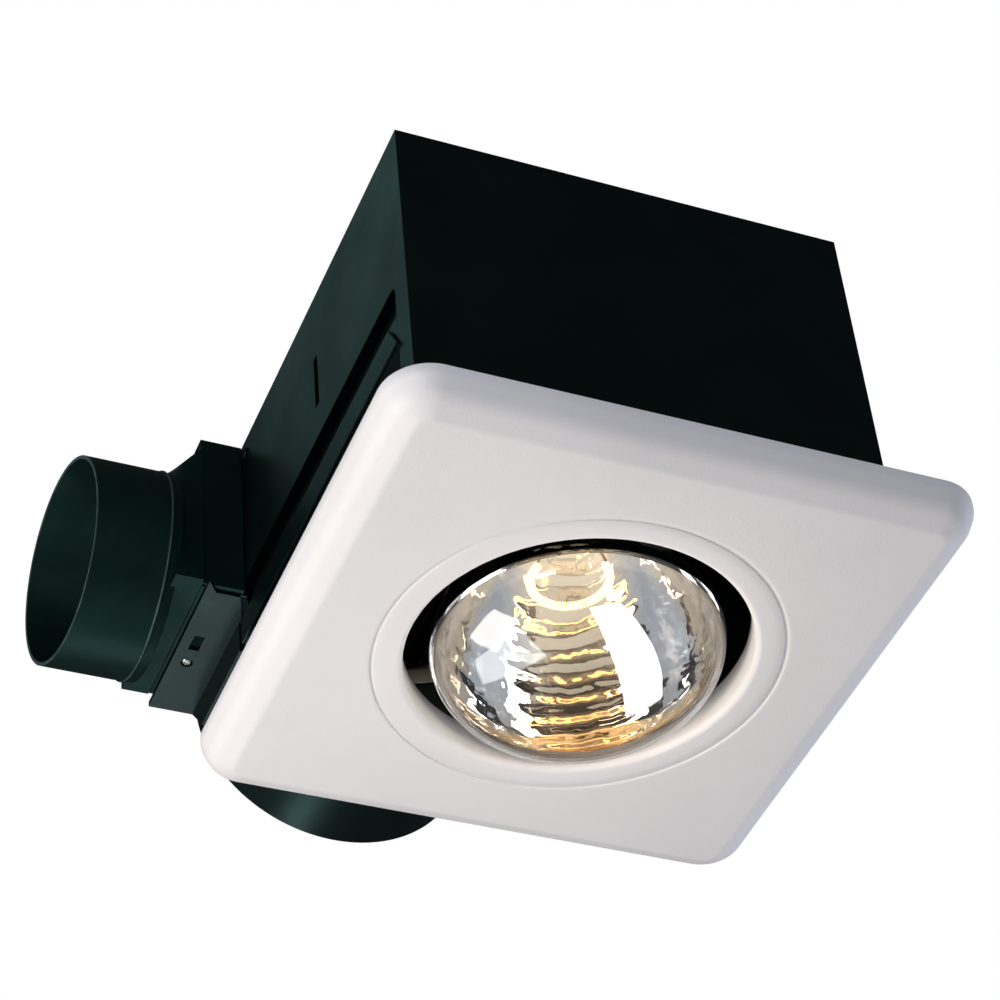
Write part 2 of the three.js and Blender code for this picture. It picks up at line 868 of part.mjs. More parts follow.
coverScrews.forEach((x, i) => {
  const headFrom = coverFoot + coverWall + gap + blowerScrewHeadHeight;
  const tip = backPlateY - coverScrewRadius;
  const head = coverFlange / 2 - gap;
  const body = screw("Y", x, axisZ, head, blowerScrewHeadHeight, coverScrewRadius, headFrom, tip);
  add(`cover_screw_${i + 1}`, body, bright);
});

// Bracket under the outlet's floor
const leafTop = outletFloor - gap;
const leafBottom = leafTop - bracketThickness;
const leafRight = scrollPoint(-180, 0)[0] - gap;
const leafOutline = polygon([
  [outletEnd, frontPlateY - bracketCornerRun],
  [outletEnd + bracketCornerInset, frontPlateY],
  [leafRight - bracketChamferX, frontPlateY],
  [leafRight, frontPlateY + bracketChamferY],
  [leafRight, wrapFar],
  [outletEnd, wrapFar],
]);
const bracketSolid = cut(
  join(
    along("Z", leafOutline, leafBottom, leafTop),
    along(
      "X",
      polygon([
        [frontPlateY + bracketChamferY, leafTop - bracketFlangeHeight],
        [wrapFar - bracketFlangeSlant, leafTop - bracketFlangeHeight],
        [wrapFar, leafTop - bracketThickness],
        [wrapFar, leafTop - bracketThickness / 2],
        [frontPlateY + bracketChamferY, leafTop - bracketThickness / 2],
      ]),
      leafRight - bracketThickness,
      leafRight,
    ),
  ),
  block(
    outletEnd + slotLeft,
    outletEnd + slotLeft + slotWidth,
    frontPlateY + slotNear,
    frontPlateY + slotNear + slotLength,
    leafBottom - overrun,
    leafTop + overrun,
  ),
  bar(
    "Z",
    connectorScrewX,
    connectorScrewY,
    connectorScrewHole,
    leafBottom - overrun,
    leafTop + overrun,
  ),
);
add("outlet_bracket", bracketSolid, paint);

// Duct connector: the body runs from a rectangle to the collar's circle and is clipped flat. Its
// lower corners reach the collar, its roof lies under the mouth's plate, a spigot enters the outlet
// and a socket of two walls laps the outlet's near side and top. The collar's end is cut askew
function circlePoints(x, radius) {
  const points = [];
  for (let i = 0; i < medium; i += 1) {
    const angle = (2 * Math.PI * i) / medium;
    points.push(
      new THREE.Vector3(x, collarY + radius * Math.cos(angle), collarZ + radius * Math.sin(angle)),
    );
  }
  return points;
}
const bodyMouth = outletEnd - gap;
function bodyHull(inset, mouth, root) {
  const [near, far] = [bodyNear + inset, bodyFar - inset];
  const [floor, top] = [outletFloor + inset, shoulderTop - inset];
  const corners = [
    new THREE.Vector3(mouth, near, floor),
    new THREE.Vector3(mouth, far, floor),
    new THREE.Vector3(mouth, far, top),
    new THREE.Vector3(mouth, near, top),
    new THREE.Vector3(root + inset, near, floor),
    new THREE.Vector3(root + inset, far, floor),
  ];
  const hull = new ConvexGeometry([...corners, ...circlePoints(root, collarRadius - inset)]);
  const clip = block(root, mouth, near, far, floor, bodyTop - inset);
  return common(hull, clip);
}
const spigot = {
  near: frontPlateY + sheet + spigotClearance,
  far: backPlateY - spigotClearance,
  floor: outletFloor + sheet + spigotClearance,
  top: Math.min(outletTop - sheet - spigotClearance, shoulderTop - weld),
};
const socketEnd = housing.left - gap;
const socketTop = outletTop + gap + socketWall;
const spigotOuter = join(
  block(
    bodyMouth - bodyWall,
    outletEnd + spigotLength,
    spigot.near,
    Math.min(spigot.far, bodyFar - weld),
    spigot.floor,
    spigot.top,
  ),
  block(bodyMouth - bodyWall, bodyMouth, socketNear, bodyFar, outletFloor, socketTop),
  block(bodyMouth - weld, socketEnd, socketNear, frontPlateY - gap, outletFloor, socketTop),
  block(bodyMouth - weld, socketEnd, socketNear, bodyFar, outletTop + gap, socketTop),
);
const spigotInner = block(
  bodyMouth - bodyWall - overrun,
  outletEnd + spigotLength + overrun,
  spigot.near + spigotWall,
  Math.min(spigot.far, bodyFar) - spigotWall,
  spigot.floor + spigotWall,
  spigot.top - spigotWall,
);
const ridgeEnd = collarRoot - collarRidgeInset;
const sillEnd = collarRoot + bodyWall;
const pinZ = collarZ + damperOffset;
const collarBore = collarRadius - collarWall;
const pinReach = Math.sqrt(collarRadius ** 2 - damperOffset ** 2);
const seatRing = (x, z0, z1) =>
  common(
    turnedAlong(
      "X",
      [
        [collarBore - seatWidth, x],
        [collarBore + weld, x],
        [collarBore + weld, x + seatLength],
        [collarBore - seatWidth, x + seatLength],
      ],
      medium,
    ).translate(0, collarY, collarZ),
    block(
      x - overrun,
      x + seatLength + overrun,
      collarY - collarRadius,
      collarY + collarRadius,
      z0,
      z1,
    ),
  );
const lowerSeatX = damperX + damperThickness / 2 + seatPlay;
const upperSeatX = damperX - damperThickness / 2 - seatPlay - seatLength;
const skewed = new THREE.Matrix4().set(
  ...[1, -collarMouthSkewY, -collarMouthSkewZ, 0],
  ...[0, 1, 0, 0],
  ...[0, 0, 1, 0],
  ...[0, 0, 0, 1],
);
const mouthSpan = collarRadius + 2 * overrun;
const mouthCutter = block(-collarRadius, 0, -mouthSpan, mouthSpan, -mouthSpan, mouthSpan)
  .applyMatrix4(skewed)
  .translate(collarMouthX, collarY, collarZ);
const collarTube = cut(
  join(
    bar("X", collarY, collarZ, collarRadius, collarEnd, collarRoot + weld, medium),
    bar("X", collarY, collarZ, collarRadius, collarRoot - weld, sillEnd, medium),
    bar(
      "X",
      collarY,
      collarZ,
      collarRadius + collarRidge,
      ridgeEnd - collarRidgeLength,
      ridgeEnd,
      medium,
    ),
  ),
  bar("X", collarY, collarZ, collarBore, collarEnd - overrun, collarRoot, medium),
  mouthCutter,
);
add(
  "duct_connector",
  cut(
    join(
      cut(
        join(collarTube, bodyHull(0, bodyMouth, collarRoot)),
        bodyHull(bodyWall, bodyMouth + overrun, collarRoot - weld),
      ),
      cut(spigotOuter, spigotInner),
      seatRing(lowerSeatX, collarZ - collarRadius, pinZ - seatClear),
      seatRing(upperSeatX, pinZ + seatClear, collarZ + collarRadius),
    ),
    bar(
      "Y",
      damperX,
      pinZ,
      damperPinRadius + gap,
      collarY - collarRadius - overrun,
      collarY + collarRadius + overrun,
      tiny,
    ),
    bar(
      "Z",
      connectorScrewX,
      connectorScrewY,
      connectorScrewShank + gap,
      outletFloor - overrun,
      outletFloor + overrun,
      tiny,
    ),
  ),
  black,
);
const connectorHeadHeight = bracketThickness;
const connectorHeadFrom = leafBottom;
add(
  "connector_screw",
  screw(
    "Z",
    connectorScrewX,
    connectorScrewY,
    connectorScrewHead,
    connectorHeadHeight,
    connectorScrewShank,
    connectorHeadFrom,
    connectorHeadFrom + connectorScrewLength,
  ),
  bright,
);

// Damper flap and its pin
add(
  "damper_pin",
  bar("Y", damperX, pinZ, damperPinRadius, collarY - pinReach, collarY + pinReach, tiny),
  bright,
);
const flapHalf = Math.sqrt(damperRadius ** 2 - damperOffset ** 2) - damperPinRadius;
const flapFrom = damperX - damperThickness / 2;
const flapBoss = damperPinRadius + gap + damperBoss;
add(
  "damper_flap",
  cut(
    join(
      bar("X", collarY, collarZ, damperRadius, flapFrom, flapFrom + damperThickness, medium),
      bar("Y", damperX, pinZ, flapBoss, collarY - flapHalf, collarY + flapHalf, tiny),
    ),
    bar(
      "Y",
      damperX,
      pinZ,
      damperPinRadius + gap,
      collarY - collarRadius,
      collarY + collarRadius,
      tiny,
    ),
  ),
  galvanised,
);

// Trim panel: a rounded square drawn inwards and downwards along an arc, hollow behind
function squareRing(half, corner, z) {
  const ring = [];
  const centre = half - corner;
  const signs = [
    [1, 1],
    [-1, 1],
    [-1, -1],
    [1, -1],
  ];
  signs.forEach(([sx, sy], quarter) => {
    for (let i = 0; i <= trimCornerSteps; i += 1) {
      const angle = (Math.PI / 2) * (quarter + i / trimCornerSteps);
      const x = sx * centre + corner * Math.cos(angle);
      const y = sy * centre + corner * Math.sin(angle);
      ring.push(new THREE.Vector3(x, y, z));
    }
  });
  return ring;
}
function dish(inset, top) {
  const round = trimRound - inset;
  const half = trimHalf;
  const centreZ = -trimDepth + trimRound;
  const rings = [];
  for (let i = 0; i <= trimArcSteps; i += 1) {
    const angle = (Math.PI / 2) * (i / trimArcSteps);
    const step = trimRound - round * Math.sin(angle);
    const drop = centreZ - round * Math.cos(angle);
    rings.push(squareRing(half - step, trimCorner - step, drop));
  }
  rings.push(squareRing(half - inset, trimCorner - inset, top));
  return lofted(rings);
}
const faceZ = -trimDepth;
const backZ = faceZ + trimWall;
function openingProfile(inset) {
  const lip = openingLip;
  const radius = openingRadius;
  const outer = radius + lip + trimWall;
  return [
    [outer, faceZ + inset],
    [radius + lip, faceZ],
    [radius + lip * (1 - Math.SQRT1_2), faceZ + lip * (1 - Math.SQRT1_2)],
    [radius, faceZ + lip],
    [radius, faceZ + openingDepth],
    [radius + trimWall, faceZ + openingDepth],
    [radius + trimWall, backZ + lip],
    [outer, backZ],
  ];
}
const clipSides = [
  { name: "near", wall: inner.near, sign: -1 },
  { name: "far", wall: inner.far, sign: 1 },
];
const clipLegGap = gap + clipBump;
const clipX = -clipShift;
clipSides.forEach((side) => {
  side.leg = side.wall - side.sign * (clipLegGap + clipThickness);
  side.boss = side.leg - side.sign * (clipFoot - bossRadius);
});
const bossSolids = clipSides.map(({ boss }) =>
  bar("Z", clipX, boss, bossRadius, backZ - weld, backZ + bossHeight, coarse),
);
const bossHoles = clipSides.map(({ boss }) =>
  bar("Z", clipX, boss, bossHole, backZ + trimWall / 2, backZ + bossHeight + overrun, tiny),
);
const ringGroove = turned([
  [ringRadius - ringWidth / 2, faceZ - overrun],
  [ringRadius + ringWidth / 2, faceZ - overrun],
  [ringRadius + ringWidth / 2, faceZ + ringDepth],
  [ringRadius - ringWidth / 2, faceZ + ringDepth],
]);
const openingCut = bar(
  "Z",
  0,
  0,
  openingRadius + openingLip,
  faceZ - overrun,
  overrun,
  fine,
);
add(
  "trim_panel",
  cut(
    join(cut(dish(0, 0), dish(trimWall, overrun), openingCut), turned(openingProfile(weld)), ...bossSolids),
    ringGroove,
    ...bossHoles,
  ),
  white,
);

// Trim clips and their screws
const clipFootZ = backZ + bossHeight + gap;
clipSides.forEach(({ name, leg, boss, sign }) => {
  const top = clipFootZ + clipHeight;
  const bumpZ = clipFootZ + clipHeight * clipBumpShare;
  const outer = leg + sign * clipThickness;
  const foot = leg - sign * clipFoot;
  const points = [
    [foot, clipFootZ],
    [outer, clipFootZ],
    [outer, bumpZ - clipBump],
    [outer + sign * clipBump, bumpZ],
    [outer, bumpZ + clipBump],
    [outer - sign * clipBump, top],
    [leg - sign * clipBump, top],
    [leg, bumpZ + clipBump],
    [leg + sign * clipBump, bumpZ],
    [leg, bumpZ - clipBump],
    [leg, clipFootZ + clipThickness],
    [foot, clipFootZ + clipThickness],
  ];
  const strip = along("X", polygon(points), clipX - clipWidth / 2, clipX + clipWidth / 2);
  const hole = bar("Z", clipX, boss, bossHole, clipFootZ - overrun, clipFootZ + overrun, tiny);
  add(`trim_clip_${name}`, cut(strip, hole), bright);
  const headFrom = clipFootZ + clipThickness + gap + clipScrewHeadHeight;
  const tip = clipFootZ - clipScrewLength;
  const body = screw("Z", clipX, boss, clipScrewHead, clipScrewHeadHeight, clipScrewShank, headFrom, tip);
  add(`trim_clip_screw_${name}`, body, bright);
});

// Lamp bulb: one open-necked shell, dome below and mirror bowl above
const neckZ = lampWaist + lampReflector;
function bulbLine(inset) {
  const line = [];
  for (let i = 0; i <= lampDomeSteps; i += 1) {
    const angle = (Math.PI / 2) * (1 - i / lampDomeSteps);
    line.push([
      i === 0 ? 0 : (lampRadius - inset) * Math.cos(angle),
      lampWaist - (lampDome - inset) * Math.sin(angle),
    ]);
  }
  for (const [rise, share] of reflectorShares) {
    line.push([lampRadius * share - inset, lampWaist + lampReflector * rise]);
  }
  return line;
}
add("lamp_bulb", turned([...bulbLine(0), ...bulbLine(lampGlass).reverse()], lampSides), glass);

// Screw base: a threaded shell with a closed top, an insulator's width round the contact
const baseFrom = neckZ - baseOverlap;
const neckRadius = lampRadius * reflectorShares.at(-1)[1];
const skirtTo = neckZ + gap;
const threadPitch = (baseLength - baseOverlap) / baseThreads;
const threadLine = [];
for (let i = 0; i < baseThreads; i += 1) {
  const z = skirtTo + baseWall + threadPitch * i;
  threadLine.push([baseRoot, z], [baseRadius, z + threadPitch / 2]);
}
const baseTop = skirtTo + baseWall + threadPitch * baseThreads;
const skirtRadius = baseRadius + baseWall;
add(
  "lamp_base",
  turned(
    [
      [baseRoot - baseWall, skirtTo],
      [neckRadius + gap, skirtTo],
      [baseRadius, skirtTo - baseWall],
      [skirtRadius, skirtTo - baseWall],
      [skirtRadius, skirtTo],
      ...threadLine,
      [baseRoot, baseTop],
      [contactRadius + gap, baseTop + contactHeight / 2],
      [contactRadius + gap, baseTop - baseWall],
      [baseRoot - baseWall, baseTop - baseWall],
    ],
    medium,
  ),
  brass,
);
add(
  "lamp_contact",
  turned(
    [
      [0, baseTop - baseWall],
      [contactRadius, baseTop - baseWall],
      [contactRadius, baseTop + contactHeight / 2],
      [contactRadius / 2, baseTop + contactHeight],
      [0, baseTop + contactHeight],
    ],
    coarse,
  ),
  bright,
);

// Stem: a glass rod that flares out to the neck, with the two support wires and the filament
const stemTop = skirtTo;
const stemBottom = neckZ - stemLength;
const stemFoot = neckRadius - lampGlass - gap;
add(
  "lamp_stem",
  turned(
    [
      [0, stemBottom],
      [stemRadius / 2, stemBottom],
      [stemRadius / 2, neckZ - stemFlare - stemRadius],
      [stemFoot, neckZ - lampGlass],
      [stemFoot, stemTop - gap],
      [0, stemTop - gap],
    ],
    coarse,
  ),
  glass,
);
const filamentArc = THREE.MathUtils.degToRad(360 - filamentOpenAngle);
const filamentStart = THREE.MathUtils.degToRad(filamentOpenAt + filamentOpenAngle / 2);
function filamentPoint(share) {
  const angle = filamentStart + filamentArc * share;
  const curl = 2 * Math.PI * filamentCurlCount * share;
  const radius = filamentRadius + filamentCurl * Math.cos(curl);
  const z = lampWaist + filamentRise + filamentCurl * Math.sin(curl);
  return new THREE.Vector3(radius * Math.cos(angle), radius * Math.sin(angle), z);
}
class FilamentCurve extends THREE.Curve {
  getPoint(share, target = new THREE.Vector3()) {
    return target.copy(filamentPoint(share));
  }
}
function roundTube(curve, radius, sides, steps) {
  const frames = curve.computeFrenetFrames(steps, false);
  const rings = [];
  for (let i = 0; i <= steps; i += 1) {
    const centre = curve.getPointAt(i / steps);
    const ring = [];
    for (let k = 0; k < sides; k += 1) {
      const angle = (2 * Math.PI * k) / sides;
      const offset = frames.normals[i].clone().multiplyScalar(radius * Math.cos(angle));
      offset.addScaledVector(frames.binormals[i], radius * Math.sin(angle));
      ring.push(centre.clone().add(offset));
    }
    rings.push(ring);
  }
  return lofted(rings);
}
const filamentSteps = filamentCurlCount * filamentCurlSteps;
const filament = new FilamentCurve();
add(
  "lamp_filament",
  roundTube(filament, filamentWire, filamentSides, filamentSteps),
  { color: 0xffb347, roughness: 0.6, metalness: 0.2 },
);

// The filament's least gap to itself, between points at least half a curl apart along the wire
function leastGap(curve, wire, steps, apart) {
  const points = curve.getSpacedPoints(steps);
  let least = Infinity;
  for (let i = 0; i <= steps; i += 1) {
    for (let j = i + apart; j <= steps; j += 1) {
      least = Math.min(least, points[i].distanceTo(points[j]) - 2 * wire);
    }
  }
  return least;
}
const filamentGap = leastGap(filament, filamentWire, filamentSteps, filamentCurlSteps / 2);
console.log(`lamp_filament: least gap to itself ${filamentGap.toFixed(2)} mm`);
[1, -1].forEach((side, i) => {
  const end = filamentPoint(side > 0 ? 0 : 1);
  const start = new THREE.Vector3(
    stemRadius / 2 + gap + supportWire,
    side * supportSpread / 2,
    stemBottom + stemRadius,
  ).applyAxisAngle(unitZ, THREE.MathUtils.degToRad(filamentOpenAt));
  const middle = start.clone().lerp(end, 1 / 2);
  middle.z = stemBottom;
  const clear = (supportWire + filamentWire + gap) / filamentRadius;
  end.applyAxisAngle(unitZ, -side * clear);
  add(`lamp_support_wire_${i + 1}`, tube([start, middle, end], supportWire, leadSides, tiny), steel);
});

// Lampholder round the base: porcelain body, screw shell, contact leaf
const socketBore = skirtRadius + gap;
const shellOuter = socketBore + shellWall;
const porcelainFrom = baseTop + contactHeight - holderDepth;
const contactLeafFrom = baseTop + contactHeight + gap;
const porcelainBack = contactLeafFrom + shellWall + gap;
const holderTop = porcelainBack + holderBack;
add(
  "lampholder_shell",
  turned(
    [
      [socketBore, porcelainFrom + holderTip],
      [shellOuter, porcelainFrom + holderTip],
      [shellOuter, baseTop],
      [socketBore, baseTop],
    ],
    medium,
  ),
  brass,
);
const holderScrews = [-1, 1].map((side) => side * holderScrewInset);
add(
  "lampholder_body",
  cut(
    turned(
      [
        [shellOuter + gap, porcelainFrom],
        [holderRadius, porcelainFrom],
        [holderRadius, holderTop],
        [contactRadius / 2, holderTop],
        [contactRadius / 2, porcelainBack],
        [shellOuter + gap, porcelainBack],
      ],
      medium,
    ),
    ...holderScrews.map((x) =>
      bar("Z", x, 0, holderScrewRadius + gap, holderTop - holderWall - gap, holderTop + overrun, tiny),
    ),
  ),
  porcelain,
);
add(
  "lampholder_contact",
  block(
    -contactRadius,
    shellOuter,
    -contactRadius / 2,
    contactRadius / 2,
    contactLeafFrom,
    contactLeafFrom + shellWall,
  ),
  brass,
);

// Lampholder bracket: a hat section that hangs from the housing's top
const bracketSeat = holderTop + gap;
const roof = inner.top - gap;
const hat = polygon([
  [-holderBracketHalf - holderBracketFoot, roof - sheet],
  [-holderBracketHalf, roof - sheet],
  [-holderBracketHalf, bracketSeat],
  [holderBracketHalf, bracketSeat],
  [holderBracketHalf, roof - sheet],
  [holderBracketHalf + holderBracketFoot, roof - sheet],
  [holderBracketHalf + holderBracketFoot, roof],
  [holderBracketHalf - sheet, roof],
  [holderBracketHalf - sheet, bracketSeat + sheet],
  [-holderBracketHalf + sheet, bracketSeat + sheet],
  [-holderBracketHalf + sheet, roof],
  [-holderBracketHalf - holderBracketFoot, roof],
]);
add(
  "lampholder_bracket",
  cut(
    along("Y", hat, -holderBracketWidth / 2, holderBracketWidth / 2),
    ...holderScrews.map((x) =>
      bar("Z", x, 0, holderScrewRadius + gap, bracketSeat - overrun, bracketSeat + overrun, tiny),
    ),
    bar("Z", 0, 0, contactRadius, bracketSeat - overrun, bracketSeat + overrun, coarse),
  ),
  galvanised,
);

holderScrews.forEach((x, i) => {
  const headFrom = bracketSeat + sheet + gap + holderScrewHeadHeight;
  const tip = holderTop - holderWall;
  const body = screw("Z", x, 0, holderScrewHead, holderScrewHeadHeight, holderScrewRadius, headFrom, tip);
  add(`lampholder_screw_${i + 1}`, body, bright);
});

// Heat shield: a plate with turned-down edges under the bracket, with the thermal cutout on it
const shieldTop = bracketSeat - gap;
add(
  "heat_shield",
  cut(
    block(-shieldHalf, shieldHalf, -shieldHalf, shieldHalf, shieldTop - shieldFlange, shieldTop),
    block(
      -shieldHalf + sheet,
      shieldHalf - sheet,
      -shieldHalf + sheet,
      shieldHalf - sheet,
      shieldTop - shieldFlange - overrun,
      shieldTop - sheet,
    ),
    bar("Z", 0, 0, holderRadius + gap, shieldTop - overrun, shieldTop + overrun, medium),
  ),
  bright,
);
add(
  "thermal_cutout",
  bar(
    "Z",
    0,
    shieldHalf - cutoutInset,
    cutoutRadius,
    shieldTop + gap,
    shieldTop + gap + cutoutHeight,
  ),
  bright,
);

// Wiring compartment: a three-walled cover in the near right corner, with a flange on the roof
const wiring = {
  left: inner.right - gap - wiringWidth,
  right: inner.right - gap,
  near: inner.near + gap,
  far: inner.near + gap + wiringLength,
  floor: roof - wiringDepth,
};
const wiringFlangeLeft = wiring.left - wiringFlange;
const wiringScrewX = wiring.left - wiringFlange / 2;
const wiringScrewY = (wiring.near + wiring.far) / 2;
const receptacleX = (wiring.left + wiring.right) / 2;
const receptacleZ = wiring.floor + wiringDepth / 2;
const lampLeadY = [-1, 1].map((side) => wiringScrewY + (side * leadPitch) / 2);
const wiringShell = cut(
  block(wiring.left, wiring.right, wiring.near, wiring.far, wiring.floor, roof),
  block(
    wiring.left + sheet,
    wiring.right + overrun,
    wiring.near - overrun,
    wiring.far - sheet,
    wiring.floor + sheet,
    roof + overrun,
  ),
);
const wiringTab = block(
  wiringFlangeLeft,
  wiring.left + weld,
  wiring.near,
  wiring.far,
  roof - sheet,
  roof,
);
add(
  "wiring_cover",
  cut(
    join(wiringShell, wiringTab),
    bar("Z", wiringScrewX, wiringScrewY, wiringScrewRadius + gap, roof - overrun, roof + overrun, tiny),
    block(
      receptacleX - receptacleWidth / 2,
      receptacleX + receptacleWidth / 2,
      wiring.far - overrun,
      wiring.far + overrun,
      receptacleZ - receptacleHeight / 2,
      receptacleZ + receptacleHeight / 2,
    ),
    ...lampLeadY.map((y) =>
      bar("X", y, receptacleZ, leadRadius + gap, wiring.left - overrun, wiring.left + overrun, tiny),
    ),
  ),
  galvanised,
);
const wiringHeadFrom = roof - sheet - gap - wiringScrewHeadHeight;
housingHoles.push(
  bar("Z", wiringScrewX, wiringScrewY, wiringScrewRadius + gap, roof - overrun, roof + overrun, tiny),
);
add(
  "wiring_cover_screw",
  screw(
    "Z",
    wiringScrewX,
    wiringScrewY,
    wiringScrewHead,
    wiringScrewHeadHeight,
    wiringScrewRadius,
    wiringHeadFrom,
    housing.top,
  ),
  bright,
);
const groundY = wiring.far - groundScrewInset;
const groundZ = wiring.floor + groundScrewInset;
housingHoles.push(
  bar("X", groundY, groundZ, wiringScrewRadius + gap, inner.right - overrun, housing.right + overrun, tiny),
);
add(
  "ground_screw",
  screw(
    "X",
    groundY,
    groundZ,
    wiringScrewHead,
    wiringScrewHeadHeight,
    wiringScrewRadius,
    inner.right - gap - wiringScrewHeadHeight,
    housing.right,
  ),
  { color: 0x3f7d46, roughness: 0.4, metalness: 0.5 },
);

// Blower receptacle in the cover's end wall, with the motor's plug in front of it
const socketFrom = wiring.far - sheet - receptacleDepth;
const lipFrom = wiring.far + gap;
const socketHalf = receptacleWidth / 2 - gap;
const socketRise = receptacleHeight / 2 - gap;
add(
  "blower_receptacle",
  join(
    block(
      receptacleX - socketHalf,
      receptacleX + socketHalf,
      socketFrom,
      lipFrom + weld,
      receptacleZ - socketRise,
      receptacleZ + socketRise,
    ),
    block(
      receptacleX - socketHalf - receptacleLip,
      receptacleX + socketHalf + receptacleLip,
      lipFrom,
      lipFrom + receptacleLip,
      receptacleZ - socketRise - receptacleLip,
      receptacleZ + socketRise + receptacleLip,
    ),
  ),
  white,
);
const plugFrom = lipFrom + receptacleLip + gap;
const plugTo = plugFrom + plugLength;
add(
  "blower_plug",
  block(
    receptacleX - socketHalf,
    receptacleX + socketHalf,
    plugFrom,
    plugTo,
    receptacleZ - socketRise,
    receptacleZ + socketRise,
  ),
  black,
);

// Cable clamp in the knockout: a bushing with a rim on each side of the wall
const clampBody = knockoutRadius - gap;
const clampInside = inner.right - gap - clampLength / 2;
add(
  "cable_clamp",
  turnedAlong(
    "X",
    [
      [clampBore, clampInside],
      [clampBody + clampRim, clampInside],
      [clampBody + clampRim, inner.right - gap],
      [clampBody, inner.right - gap],
      [clampBody, housing.right + gap],
      [clampBody + clampRim, housing.right + gap],
      [clampBody + clampRim, housing.right + gap + clampLength / 2],
      [clampBore, housing.right + gap + clampLength / 2],
    ],
    coarse,
  ).translate(0, knockoutY, knockoutZ),
  black,
);

// Leads: two from the lampholder to the compartment, one from the plug to the motor
lampLeadY.forEach((y, i) => {
  const x = [-1, 1][i] * leadSpread;
  const points = [
    new THREE.Vector3(x, 0, holderTop + gap),
    new THREE.Vector3(x, 0, (bracketSeat + sheet + roof) / 2),
    new THREE.Vector3(x + leadDip, y / 2, receptacleZ + leadDip / 2),
    new THREE.Vector3(wiring.left - leadDip - leadEntry, y, receptacleZ),
    new THREE.Vector3(wiring.left - leadEntry, y, receptacleZ),
    new THREE.Vector3(wiring.left + leadEntry, y, receptacleZ),
  ];
  add(`lamp_lead_${i + 1}`, tube(points, leadRadius, leadSides, leadSteps), black);
});
const grommetBore = leadRadius + gap;
const grommetBody = grommetBore + grommetRim;
const grommetHole = grommetBody + gap;
housingHoles.push(
  bar("Y", receptacleX, receptacleZ, grommetHole, inner.far - overrun, housing.far + overrun),
);
add(
  "lead_grommet",
  turnedAlong(
    "Y",
    [
      [grommetBore, inner.far - gap - grommetRim],
      [grommetHole + grommetRim, inner.far - gap - grommetRim],
      [grommetHole + grommetRim, inner.far - gap],
      [grommetBody, inner.far - gap],
      [grommetBody, housing.far + gap],
      [grommetHole + grommetRim, housing.far + gap],
      [grommetHole + grommetRim, housing.far + gap + grommetRim],
      [grommetBore, housing.far + gap + grommetRim],
    ],
    coarse,
  ).translate(receptacleX, 0, receptacleZ),
  black,
);
const motorLeadY = wrapFar + motorLeadBehind;
const motorLeadZ = axisZ + motorLeadRise;
const coverEdge = axisX + Math.sqrt(coverRadius ** 2 - motorLeadRise ** 2);
const leadTurn = leadDip + leadEntry;
const motorLeadPoints = [
  [receptacleX, plugTo + gap, receptacleZ],
  [receptacleX, plugTo + leadTurn, receptacleZ],
  [receptacleX, inner.far - leadTurn, receptacleZ],
  [receptacleX, housing.far + leadEntry, receptacleZ],
  [receptacleX, housing.far + leadTurn, receptacleZ],
  [receptacleX, wrapFar - leadTurn, (receptacleZ + motorLeadZ) / 2],
  [coverEdge + 2 * leadTurn, motorLeadY, motorLeadZ],
  [coverEdge + leadEntry, motorLeadY, motorLeadZ],
  [coverEdge - leadEntry / 2, motorLeadY, motorLeadZ],
].map(([x, y, z]) => new THREE.Vector3(x, y, z));
add("motor_lead", tube(motorLeadPoints, leadRadius, leadSides, 2 * leadSteps), black);

// Wall screw near the top far corner of the left wall
const wallScrewY = inner.far - wallScrewInset;
const wallScrewZ = housing.top - wallScrewDrop;
housingHoles.push(
  bar(
    "X",
    wallScrewY,
    wallScrewZ,
    blowerScrewShank + gap,
    housing.left - overrun,
    inner.left + overrun,
    tiny,
  ),
);
add(
  "wall_screw",
  screw(
    "X",
    wallScrewY,
    wallScrewZ,
    blowerScrewHead,
    blowerScrewHeadHeight,
    blowerScrewShank,
    housing.left - gap - blowerScrewHeadHeight,
    inner.left + blowerScrewShank,
  ),
  bright,
);

// Housing shell with the holes that the pieces above pass through
add("housing", cut(outerBox, innerBox, ...housingHoles), paint);

export default heater;
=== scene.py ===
import bmesh
import bpy
import numpy as np
from mathutils import Matrix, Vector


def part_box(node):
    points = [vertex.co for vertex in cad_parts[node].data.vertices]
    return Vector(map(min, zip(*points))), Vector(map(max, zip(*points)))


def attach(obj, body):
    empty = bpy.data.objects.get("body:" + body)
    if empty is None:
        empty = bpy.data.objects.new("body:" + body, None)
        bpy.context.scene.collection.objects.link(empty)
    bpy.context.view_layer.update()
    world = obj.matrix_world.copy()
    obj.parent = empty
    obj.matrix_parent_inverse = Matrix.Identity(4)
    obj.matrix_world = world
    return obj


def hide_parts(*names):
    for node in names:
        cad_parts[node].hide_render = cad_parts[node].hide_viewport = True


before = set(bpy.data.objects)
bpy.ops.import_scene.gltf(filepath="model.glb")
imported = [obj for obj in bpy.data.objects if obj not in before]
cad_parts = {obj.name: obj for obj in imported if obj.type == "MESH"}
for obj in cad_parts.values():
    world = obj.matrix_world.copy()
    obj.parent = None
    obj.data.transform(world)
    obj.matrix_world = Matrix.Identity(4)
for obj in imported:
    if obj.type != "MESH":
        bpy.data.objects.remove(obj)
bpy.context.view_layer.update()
mm = 0.001

